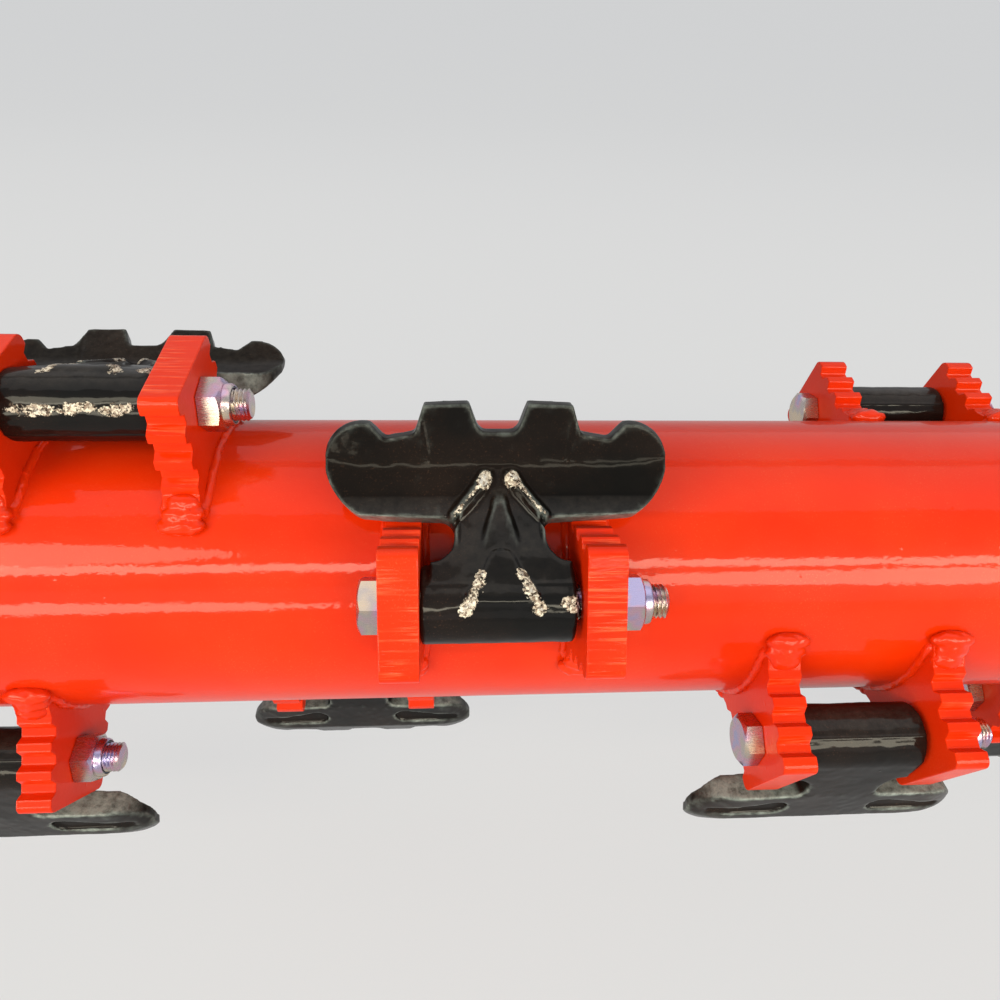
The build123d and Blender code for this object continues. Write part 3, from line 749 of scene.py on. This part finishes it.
# HAMMER BOLTS AND LOCK NUTS
# Each hammer turns on a zinc plated M20 bolt. It is held by a lock nut with a blue-black nylon
# ring, and about four turns of thread stand out of the nut.
bolt_radius, bolt_pitch, bolt_tip = 0.010, 0.0025, 0.096
hex_across, head_height, nut_height, collar_height = 0.030, 0.0125, 0.014, 0.019
lug_outside = 0.067
bolt_line = hypot(middle_row.y, middle_row.z)


def thread(start, end, fade_in, fade_out):
    """Stations of a screw thread between two places, which fades out at one or both ends."""
    depth, undersize, steps_a_turn = 0.0013, 0.00005, 8

    def radius_at(x):
        def radius(turn):
            tooth = abs(((x / bolt_pitch - turn / tau) % 1.0) * 2 - 1)
            risen = (x - start) / bolt_pitch if fade_in else 1.0
            left = (end - x) / bolt_pitch if fade_out else 1.0
            return bolt_radius - undersize - depth * min(1.0, risen, left) * min(
                1.0, max(0.0, 1.15 * tooth - 0.08))
        return radius
    steps = round((end - start) / bolt_pitch * steps_a_turn)
    places = [start + (end - start) * step / steps for step in range(steps + 1)]
    return [(place, radius_at(place)) for place in places]


bolt_pattern = turned("bolt_pattern", [
    *hex_head(-lug_outside - head_height, -lug_outside, hex_across), (-lug_outside, bolt_radius),
    (0.0395, bolt_radius), *thread(0.0400, 0.0470, True, True), (0.0475, bolt_radius), (0.0830, bolt_radius),
    *thread(0.0835, bolt_tip - 0.0012, False, False), (bolt_tip - 0.0006, 0.0086), (bolt_tip, 0.0078)], 36)
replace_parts(in_rows("bolts", bolt_pattern, zinc_plate, 32, bolt_line, tau)[0], "hammer_bolts")

nut_face, nut_end, collar_end = lug_outside, lug_outside + nut_height, lug_outside + collar_height
nut_pattern = turned("nut_pattern", [
    (nut_face, 0.01015), (nut_face, 0.01395), *hex_head(nut_end, nut_face, hex_across)[::-1][1:4],
    (nut_end, 0.0136), (nut_end + 0.0002, 0.0132), (collar_end - 0.0014, 0.0130),
    (collar_end - 0.0005, 0.0126), (collar_end, 0.0119), (collar_end, 0.0114), (collar_end - 0.0010, 0.0112),
    (collar_end - 0.0012, 0.01015)], 48, closed=True)
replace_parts(in_rows("nuts", nut_pattern, zinc_plate, 32, bolt_line, tau)[0], "lock_nuts")

nylon, nylon_tree, nylon_shader = material("blue_black_nylon", Coat_Weight=0.1)
nylon_cloud = noise_over(nylon_tree, own_coordinates(nylon_tree), 600.0)
nylon_colour = mixed(nylon_tree, nylon_cloud, (0.010, 0.013, 0.030, 1), (0.020, 0.030, 0.070, 1))
nylon_rough = math_node(nylon_tree, "MULTIPLY_ADD", nylon_cloud, 0.3, 0.25)
for value, socket in ((nylon_colour, "Base Color"), (nylon_rough, "Roughness")):
    nylon_tree.links.new(value, nylon_shader.inputs[socket])
ring_pattern = turned("ring_pattern", [
    (collar_end - 0.0020, 0.0099), (collar_end - 0.0004, 0.0100), (collar_end - 0.0001, 0.0104),
    (collar_end - 0.0002, 0.0110), (collar_end - 0.0012, 0.0113), (collar_end - 0.0020, 0.0113)],
    36, closed=True)
in_rows("nut_rings", ring_pattern, nylon, 50, bolt_line)
for points in row_points.values():
    drop(points)

# SWINGING HAMMERS
# Forged in one piece from steel: an eye on the bolt, a stem with two ridges and a rib, and a wide
# blade folded forward into four teeth. They are dipped black, and on the ridges, the boss over the eye
# and the eye's ends light marks show: paint knocked off where they strike each other, and painted glints.
master_row = "hammer_a5"


def points_of(mesh, what="co"):
    """The places of a mesh's points, or their normals, as rows of x, y, z."""
    found = np.empty(len(mesh.vertices) * 3)
    mesh.vertices.foreach_get(what, found)
    return found.reshape(-1, 3)


def swing_of(row):
    """Turn about X of a row's hammer from how it is drawn, standing on its eye."""
    spread = points_of(frame["nodes"][row].data) - np.array(bolt_places[row])
    drawn_spread = points_of(frame["nodes"][master_row].data) - np.array(bolt_places[master_row])
    lean = [atan2(-cloud[:, 1].mean(), cloud[:, 2].mean()) for cloud in (spread, drawn_spread)]
    # the master row's hammer hangs straight down, which is upside down from how it is drawn
    return pi + lean[0] - lean[1]


def ease(value, start, end):
    """0 before start, 1 after end, and a soft step between."""
    step = np.clip((value - start) / (end - start), 0, 1)
    return step * step * (3 - 2 * step)


def off_path(across, out, path):
    """Distance from each point to a path drawn on the front, and how far along it that is."""
    nearest, along = np.full(len(across), 1.0), np.zeros(len(across))
    for step, (start, end) in enumerate(zip(path, path[1:])):
        run = np.array(end) - np.array(start)
        share = np.clip(((across - start[0]) * run[0] + (out - start[1]) * run[1]) / run.dot(run), 0, 1)
        gap = np.hypot(across - start[0] - share * run[0], out - start[1] - share * run[1])
        along = np.where(gap < nearest, (step + share) / (len(path) - 1), along)
        nearest = np.minimum(gap, nearest)
    return nearest, along


def even_skin(thing, size, rounds):
    """Remeshes an object into even small faces and softens its edges."""
    remesh = thing.modifiers.new("even skin", "REMESH")
    remesh.mode, remesh.voxel_size = "VOXEL", size
    soften = thing.modifiers.new("forged edges", "SMOOTH")
    soften.factor, soften.iterations = 0.5, rounds
    return settled(thing)


skin_face = 0.0010
hammer = drawn_copy("hammer_pattern", master_row,
                    Matrix.Rotation(-pi, 4, "X") @ Matrix.Translation(-bolt_places[master_row]))
even_skin(hammer, skin_face, 1)

# the fold line of the teeth, how far they lean, and the round that each outer tooth ends in,
# seen square to the leaned teeth
skin = points_of(hammer.data)
fold_y, fold_z, lean = 0.0015, 0.084, radians(30)
round_half, round_along, round_r = 0.0755, -0.0007, 0.0246
out_half = np.abs(skin[:, 0]) - round_half
out_along = (skin[:, 2] - fold_z) * cos(lean) - (skin[:, 1] - fold_y) * sin(lean) - round_along
reach = np.hypot(out_half, out_along)
pull = np.where((out_half > 0) & (out_along > 0) & (reach > round_r), round_r / reach - 1, 0.0)
skin[:, 0] += np.sign(skin[:, 0]) * out_half * pull
skin[:, 1] -= out_along * pull * sin(lean)
skin[:, 2] += out_along * pull * cos(lean)
hammer.data.vertices.foreach_set("co", skin.ravel())
even_skin(hammer, skin_face, 5)

# the backs of the wings thin down to their ends like the bow of a boat
wing_start, wing_run, wing_thinned = 0.066, 0.034, 0.80
skin = points_of(hammer.data)
behind = skin[:, 1] - fold_y + np.maximum(skin[:, 2] - fold_z, 0) * tan(lean)
wing_front = behind[(np.abs(skin[:, 0]) > 0.070) & (np.abs(skin[:, 2] - fold_z) < 0.015)].min()
towards_end = np.clip((np.abs(skin[:, 0]) - wing_start) / wing_run, 0, 1)
kept = np.where(skin[:, 2] > 0.040, np.sqrt(1 - wing_thinned * towards_end ** 2), 1.0)
skin[:, 1] -= (behind - wing_front) * (1 - kept)
hammer.data.vertices.foreach_set("co", skin.ravel())
behind -= (behind - wing_front) * (1 - kept)
bow = ease(np.abs(skin[:, 0]), wing_start, 0.080) * ease(behind, -0.001, 0.004)
wing_ends = hammer.vertex_groups.new(name="wing ends")
for index in np.nonzero(bow > 0.01)[0].tolist():
    wing_ends.add([index], float(bow[index]), "REPLACE")
thin = hammer.modifiers.new("thin ends", "SMOOTH")
thin.factor, thin.iterations, thin.vertex_group = 0.5, 30, wing_ends.name
settled(hammer)

# Front of the stem, which the dies leave as two ridges that close to an A, with a rib between
eye_radius, eye_left, eye_right, eye_bore = 0.02225, -0.0447, 0.0410, 0.01012
hollow_depth, ridge_height = 0.0036, 0.0006
ridge_path = ((0.0080, 0.0735), (0.0125, 0.0655), (0.0195, 0.0565), (0.0250, 0.0500))
skin = points_of(hammer.data)
facing = points_of(hammer.data, "normal")
x, y, z = skin.T
half = np.abs(x)
front = ease(-facing[:, 1], 0.20, 0.55)
ridge_line = -eye_radius + (eye_radius - 0.008) * z / 0.077
ridge_gap, ridge_share = off_path(half, z, ridge_path)
ridge = 1 - ease(ridge_gap, 0.0010, 0.0078 - 0.0018 * ridge_share)
rib_half = 0.0032 + 0.0070 * ease(-z, -0.062, -0.030)
rib = (1 - ease(half - rib_half, -0.0020, 0.0030)) * (1 - ease(z, 0.0560, 0.0660))
inside = half < np.interp(z, [0.036, 0.050, 0.0565, 0.0655, 0.0735, 0.0800],
                          [0.0290, 0.0250, 0.0195, 0.0125, 0.0080, 0.0])
hollow = hollow_depth * ease(z, 0.0245, 0.0420) * (1 - np.maximum(ridge, rib))
wanted = ridge_line + hollow - ridge_height * ridge
on_stem = (inside & (z > 0.024) & (z < 0.078)).astype(float)
near_front = 1 - ease(y - ridge_line, 0.0095, 0.0115)
stem_share = on_stem * np.maximum(front, near_front) * (1 - ease(half, 0.0215, 0.0252) * (z < 0.050))
skin[:, 1] += (wanted - y) * stem_share
# outside the ridges the blade rises to them in a short slope
slope = front * (1 - on_stem) * ridge * (z > 0.046) * (half < 0.032)
skin[:, 1] += (np.minimum(wanted, y) - y) * slope

# a bell-shaped boss where the rib runs out over the eye, and the parting line of the dies
boss_height, flash_height, back_flash_height, crease_depth, line_half = 0.0017, 0.0004, 0.0005, 0.0004, 0.0007
bell_half = np.interp(z, [-0.006, 0.004, 0.011, 0.017, 0.024, 0.0285, 0.0300],
                      [0.0210, 0.0205, 0.0150, 0.0110, 0.0080, 0.0045, 0.0])
bell = (1 - ease(half - bell_half, -0.0018, 0.0010)) * ease(z, -0.0070, 0.0010)
bell *= 1 - ease(z, 0.0270, 0.0305)
flash = np.exp(-((z - 0.0095) / line_half) ** 2) * (half > bell_half) * (np.abs(y) < eye_radius + 0.002)
back_flash = np.exp(-((z + 0.0175) / line_half) ** 2) * ease(y, 0.004, 0.008)
crease_gap, _ = off_path(half, z, ((0.0405, 0.0830), (0.0440, 0.1020)))
tooth_crease = np.exp(-(crease_gap / 0.0009) ** 2)
grow = front * (boss_height * bell + flash_height * flash - crease_depth * tooth_crease)
grow += back_flash_height * back_flash
# scale pits and hammer blows
pit_depth = 0.00030
pits = np.array([noise.noise(Vector(place) * 55) + 0.5 * noise.noise(Vector(place) * 190)
                 for place in skin])
skin += facing * (grow + pit_depth * pits)[:, None]
# the bore is drilled and the ends of the eye are faced after forging
x, y, z = skin.T
reach = np.hypot(y, z)
in_bore = (reach < eye_bore + 0.0022) & (x > eye_left - 0.001) & (x < eye_right + 0.001)
skin[:, 1:] *= np.where(in_bore, eye_bore / np.maximum(reach, 1e-6), 1.0)[:, None]
skin[:, 0] = np.where(reach < eye_radius + 0.001, np.clip(skin[:, 0], eye_left, eye_right), skin[:, 0])
hammer.data.vertices.foreach_set("co", skin.ravel())
hammer.data.update()
soften = hammer.modifiers.new("forged edges", "SMOOTH")
soften.factor, soften.iterations = 0.4, 2
hammer_faces_kept = 0.34
hammer.modifiers.new("fewer faces", "DECIMATE").ratio = hammer_faces_kept
settled(hammer)

# how sharp each edge is: how far a point stands out from the middle of its neighbours
skin = points_of(hammer.data)
normals = points_of(hammer.data, "normal")
ends = np.empty(len(hammer.data.edges) * 2, dtype=np.int64)
hammer.data.edges.foreach_get("vertices", ends)
ends = ends.reshape(-1, 2)


def from_neighbours(values):
    """The mean of each point's neighbours."""
    sums, counts = np.zeros_like(values), np.zeros(len(values))
    for first, second in ((0, 1), (1, 0)):
        np.add.at(sums, ends[:, first], values[ends[:, second]])
        np.add.at(counts, ends[:, first], 1)
    return sums / (counts[:, None] if values.ndim > 1 else counts)


sharp = ((skin - from_neighbours(skin)) * normals).sum(axis=1)
for _ in range(2):
    sharp = 0.5 * sharp + 0.5 * from_neighbours(sharp)
edge = ease(sharp, 0.00006, 0.00028)

# Chipped paint, and painted glints drawn as chips on the ridges, the boss and the eye: 1 is bare,
# and the shader tears the border of each patch
x, y, z = skin.T
half = np.abs(x)
front = ease(-normals[:, 1], -0.10, 0.30)
ridge_top = 1 - ease(np.hypot((half - 0.0082) / 0.0050, (z - 0.0700) / 0.0072), 0.45, 1.25)
ridge_gap, ridge_share = off_path(half, z, ridge_path)
on_ridge = 0.78 * np.exp(-(ridge_gap / 0.0017) ** 2) * (1 - 0.25 * ridge_share)
boss_gap, boss_share = off_path(half, z, ((0.0105, 0.0150), (0.0205, -0.0040)))
on_boss = (1 - ease(boss_gap, 0.0004, 0.0050 + 0.0020 * boss_share)) * (half > 0.004)
on_eye_end = (1 - ease(np.hypot((x - 0.0385) / 0.0065, (z + 0.0015) / 0.0055), 0.5, 1.3)) * 0.85
on_edges = 0.34 * edge + 0.30 * edge * ease(z, 0.075, 0.100)
chips_and_glints = front * np.maximum.reduce([ridge_top, on_ridge, on_boss, on_eye_end]) + on_edges
# painted highlight along the sharp edges of the upper stem and wings, weaker on the front
rim = ease(sharp, 0.00001, 0.00012) * ease(z, 0.026, 0.040) * (1 - 0.65 * front)
# painted reflection of the sky on the shoulders of the wings, joined to the painted edge highlight
shoulder_sheen = ease(-normals[:, 2], 0.45, 0.80) * ease(z, 0.044, 0.050) * (1 - ease(z, 0.063, 0.067))
rim = np.maximum(rim, 0.85 * shoulder_sheen)
# wood rubs the gloss off the front of the blade
dull = ease(-normals[:, 1], 0.20, 0.60) * ease(z, 0.050, 0.064)


def own_attribute(tree, name):
    """An attribute of the piece's points."""
    return node(tree, "ShaderNodeAttribute", attribute_name=name).outputs["Fac"]


# Black dip paint. Where it is knocked off, torn flakes of cream primer and grey steel show, and the same
# flakes draw the painted glints.
dip_gloss = 0.32
hammer_black, hammer_tree, hammer_shader, hammer_colour, hammer_rough, hammer_bump = enamel(
    "black_dip_paint", BLACK, DEEP_BLACK, BROWN_DUST, gloss=0.34, peel=0.4, dustiness=0.35, coat=dip_gloss,
    specular=0.02)
hammer_shader.inputs["Coat Roughness"].default_value = 0.09
chip_where = own_coordinates(hammer_tree)
# grey dust settles on what faces up while the rotor rests
facing_up = node(hammer_tree, "ShaderNodeSeparateXYZ", {
    0: node(hammer_tree, "ShaderNodeNewGeometry").outputs["Normal"]}).outputs["Z"]
settle_cloud = noise_over(hammer_tree, chip_where, 160.0, 6.0, Roughness=0.7)
settled_dust = math_node(
    hammer_tree, "MULTIPLY", from_range(hammer_tree, facing_up, 0.80, 0.97, 0.0, 0.08),
    from_range(hammer_tree, settle_cloud, 0.30, 0.70))
dusted = mixed(hammer_tree, settled_dust, hammer_colour, (0.20, 0.175, 0.155, 1))
# painted highlight: a light blue-grey sheen painted along the sharp edges and on the wings' shoulders
painted_sheen_share = math_node(
    hammer_tree, "MULTIPLY", own_attribute(hammer_tree, "painted_sheen"),
    from_range(hammer_tree, settle_cloud, 0.35, 0.60, 0.30, 0.90))
painted_sheen = mixed(hammer_tree, painted_sheen_share, dusted, (0.25, 0.295, 0.30, 1))
# the border of each bare patch and painted glint is torn by two noises; flakes lie in cells of their own tone
chip_fine = node(hammer_tree, "ShaderNodeTexNoise", {
    "Vector": chip_where, "Scale": 480.0, "Detail": 6.0, "Roughness": 0.80, "Distortion": 0.6})
chip_bent = vector_math(hammer_tree, "MULTIPLY_ADD", {
    0: chip_fine.outputs["Color"], 1: (0.0050, 0.0050, 0.0050), 2: chip_where})
chip_flake = node(hammer_tree, "ShaderNodeTexVoronoi", {"Vector": chip_bent, "Scale": 900.0})
glint_and_wear = own_attribute(hammer_tree, "chips_and_glints")
torn = math_node(hammer_tree, "MULTIPLY_ADD", chip_fine.outputs["Fac"], 1.7, math_node(
    hammer_tree, "MULTIPLY_ADD", noise_over(hammer_tree, chip_where, 130.0, 3.0), 2.0, -1.85))
torn_glint_and_wear = math_node(hammer_tree, "MULTIPLY_ADD", torn, from_range(hammer_tree, glint_and_wear, 0.04, 0.35), glint_and_wear)
chip_and_glint = from_range(hammer_tree, torn_glint_and_wear, 0.52, 0.57)
flake_tone = node(hammer_tree, "ShaderNodeSeparateColor", {0: chip_flake.outputs["Color"]}).outputs[0]
flakes = colour_steps(hammer_tree, flake_tone, (
    (0.12, (0.020, 0.014, 0.012, 1)), (0.30, (0.20, 0.15, 0.12, 1)), (0.55, (0.42, 0.37, 0.32, 1)),
    (0.80, (0.70, 0.66, 0.59, 1))))
bare = from_range(hammer_tree, math_node(
    hammer_tree, "ADD", torn_glint_and_wear, math_node(hammer_tree, "MULTIPLY", flake_tone, 0.25)), 1.28, 1.40)
flake_and_steel_colour = mixed(hammer_tree, bare, flakes, (0.50, 0.49, 0.47, 1))
hammer_surface_colour = mixed(hammer_tree, chip_and_glint, painted_sheen, flake_and_steel_colour)
worn_rough = node(hammer_tree, "ShaderNodeMix", {0: chip_and_glint, 2: hammer_rough, 3: 0.62}).outputs[0]
worn_metal = math_node(hammer_tree, "MULTIPLY", bare, 0.9)
gloss_left = math_node(hammer_tree, "MULTIPLY", math_node(
    hammer_tree, "MULTIPLY_ADD", chip_and_glint, -dip_gloss, dip_gloss), math_node(
    hammer_tree, "MULTIPLY_ADD", own_attribute(hammer_tree, "dulled"), -0.75, 1.0))
for value, socket in ((hammer_surface_colour, "Base Color"), (worn_rough, "Roughness"), (worn_metal, "Metallic"),
                      (gloss_left, "Coat Weight")):
    hammer_tree.links.new(value, hammer_shader.inputs[socket])
chip_height = math_node(hammer_tree, "MULTIPLY", chip_and_glint, math_node(
    hammer_tree, "MULTIPLY_ADD", flake_tone, 0.8, -1.0))
chip_edge = node(hammer_tree, "ShaderNodeBump", {
    "Height": chip_height, "Distance": 0.00020, "Normal": hammer_bump})
both_normals(hammer_tree, chip_edge.outputs[0], hammer_shader)

# rows whose hammers also have a strip along the eye, partly worn paint and partly a painted reflection:
# how strong it is, where it ends, and its place round the eye in degrees above the front
round_eye, strip_half = np.degrees(np.arctan2(z, -y)), 11
worn_and_glinting_strips = {"hammer_a3": (0.82, 0.041, -80), "hammer_b3": (0.7, 0.010, 16), "hammer_a5": (0.7, 0.030, 16),
               "hammer_b6": (0.6, 0.030, 16)}
for number, row in enumerate(sorted(bolt_places)):
    own = hammer.data.copy()
    strip_strength, strip_end, strip_at = worn_and_glinting_strips.get(row, (0.3, 0.0, 16))
    strip = np.exp(-((round_eye - strip_at) / strip_half) ** 2) * (np.hypot(y, z) < 0.026)
    strip *= ease(x, -0.042, -0.034) * (1 - ease(x, strip_end - 0.010, strip_end))
    share = 1.0 if row == "hammer_a4" else 0.85 + 0.2 * sin(2.4 * number + 4.7)
    own_chips_and_glints = np.clip(np.maximum(chips_and_glints * share, strip_strength * strip), 0, 1.3)
    own.transform(Matrix.Translation(bolt_places[row]) @ Matrix.Rotation(swing_of(row), 4, "X"))
    for wear_name, amount in (("chips_and_glints", own_chips_and_glints), ("painted_sheen", rim), ("dulled", dull)):
        own.attributes.new(wear_name, "FLOAT", "POINT").data.foreach_set("value", amount.astype(np.float32))
    forged = link_object(f"forged_{row}", own)
    forged.data.materials.append(hammer_black)
    shade(forged, 50)
    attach(forged, row)
    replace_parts(forged, row)
drop(hammer)

# FLOOR, BACKDROP AND LIGHT
# Plain pale floor under the rotor, which its two housings hold as the mulcher's side plates do.
# Warm soft boxes in front make the bands of light along the tube, and plain ones light it softly from
# low in front, from above and from behind.
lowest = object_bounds()[0][2]
floor_size, floor_gap = 30.0, 0.05
backdrop = bpy.data.meshes.new("backdrop")
backdrop.from_pydata([
    (cad_bounds[1][0] / 2 + across * floor_size, deep * floor_size, lowest - floor_gap)
    for across, deep in ((-1, -1), (1, -1), (1, 1), (-1, 1))], [], [(0, 1, 2, 3)])
floor = link_object("floor", backdrop)
floor_paint, floor_tree, floor_shader = material("pale_floor", Roughness=0.9)
floor_cloud = noise_over(floor_tree, own_coordinates(floor_tree), 1.5, 3.0)
floor_colour = mixed(floor_tree, floor_cloud, (0.50, 0.50, 0.50, 1), (0.54, 0.54, 0.53, 1))
floor_tree.links.new(floor_colour, floor_shader.inputs["Base Color"])
# seen by the camera, the floor glows evenly, and still takes the rotor's shadow
even_share, even_light = 0.80, 0.78
floor_glow = node(floor_tree, "ShaderNodeEmission", {"Color": (0.98, 0.99, 1.0, 1), "Strength": even_light})


def seen_rays(tree):
    """1 for the rays that show the surroundings: seen straight, in a reflection or through glass."""
    path = node(tree, "ShaderNodeLightPath").outputs
    return math_node(tree, "MAXIMUM", path["Is Camera Ray"], math_node(
        tree, "MAXIMUM", path["Is Glossy Ray"], path["Is Transmission Ray"]))


floor_seen = math_node(floor_tree, "MULTIPLY", seen_rays(floor_tree), even_share)
floor_mix = node(floor_tree, "ShaderNodeMixShader", {
    0: floor_seen, 1: floor_shader.outputs[0], 2: floor_glow.outputs[0]})
floor_tree.links.new(floor_mix.outputs[0], floor_tree.nodes["Material Output"].inputs["Surface"])
floor.data.materials.append(floor_paint)

world = bpy.data.worlds.new("studio")
bpy.context.scene.world = world
world.use_nodes = True
sky = world.node_tree.nodes["Background"]
sky.inputs["Color"].default_value = (0.93, 0.95, 1.0, 1)
room_light, seen_light = 0.13, 0.62
world.node_tree.links.new(math_node(
    world.node_tree, "MULTIPLY_ADD", seen_rays(world.node_tree), seen_light - room_light, room_light),
    sky.inputs["Strength"])


def soft_box(name, width, height, place, radiance, shape="RECTANGLE", colour=(1.0, 0.92, 0.71)):
    """An area light of this size that faces the rotor's axis, as warm as a low sun."""
    lamp = bpy.data.lights.new(name, "AREA")
    lamp.color = colour
    lamp.shape = shape
    lamp.size, lamp.size_y = width, height
    lamp.energy = radiance * pi * width * height * (pi / 4 if shape == "ELLIPSE" else 1)
    made = bpy.data.objects.new(name, lamp)
    made.location = place
    made.rotation_euler = Vector((0, -place[1], -place[2])).to_track_quat("-Z", "Y").to_euler()
    made.visible_camera = False
    bpy.context.scene.collection.objects.link(made)


middle_x = middle_row.x
soft_box("front_soft_box", 8.0, 0.24, (middle_x, -1.99, 1.34), 14.0)
soft_box("front_left_box", 4.4, 0.96, (middle_x - 3.0, -1.70, 1.69), 8.0, "ELLIPSE")
soft_box("front_right_box", 5.4, 0.62, (middle_x + 3.0, -2.23, 0.90), 11.0, "ELLIPSE")
soft_box("middle_left_box", 5.0, 0.44, (middle_x - 2.9, -2.39, 0.22), 11.0, "ELLIPSE")
sky_white = (1.0, 0.96, 0.92)
soft_box("low_front_box", 8.0, 0.70, (middle_x, -2.36, 0.45), 0.4, colour=sky_white)
soft_box("top_soft_box", 5.0, 1.8, (middle_x, 0.2, 2.4), 0.9, colour=sky_white)
soft_box("back_soft_box", 6.0, 1.9, (middle_x, 2.05, 1.6), 0.6, colour=sky_white)

# CAMERA
# The photograph was taken from 0.5 m in front of and above the rotor, looking 37 degrees down,
# about 4 degrees to the right and nearly level.
camera_data = bpy.data.cameras.new("camera")
camera_data.sensor_width = 36.0
lens_to_width = 0.751
camera_data.lens = lens_to_width * camera_data.sensor_width
camera_data.clip_start = 0.02
camera = bpy.data.objects.new("camera", camera_data)
bpy.context.scene.collection.objects.link(camera)
look_down, look_right, roll = radians(37.0), radians(3.89), radians(-0.31)
towards = Vector((0, -cos(look_down), sin(look_down)))
ahead = Vector((sin(look_right), 0, 0)) - towards * cos(look_right)
right = Vector((cos(look_right), 0, 0)) + towards * sin(look_right)
up = right.cross(ahead)
pose = Matrix((right, up, -ahead)).transposed() @ Matrix.Rotation(roll, 3, "Z")
camera_place = Vector((0.9769, -0.4255, 0.3733))
camera.matrix_world = Matrix.Translation(camera_place) @ pose.to_4x4()
bpy.context.scene.camera = camera
bpy.context.scene.view_settings.view_transform = "Standard"
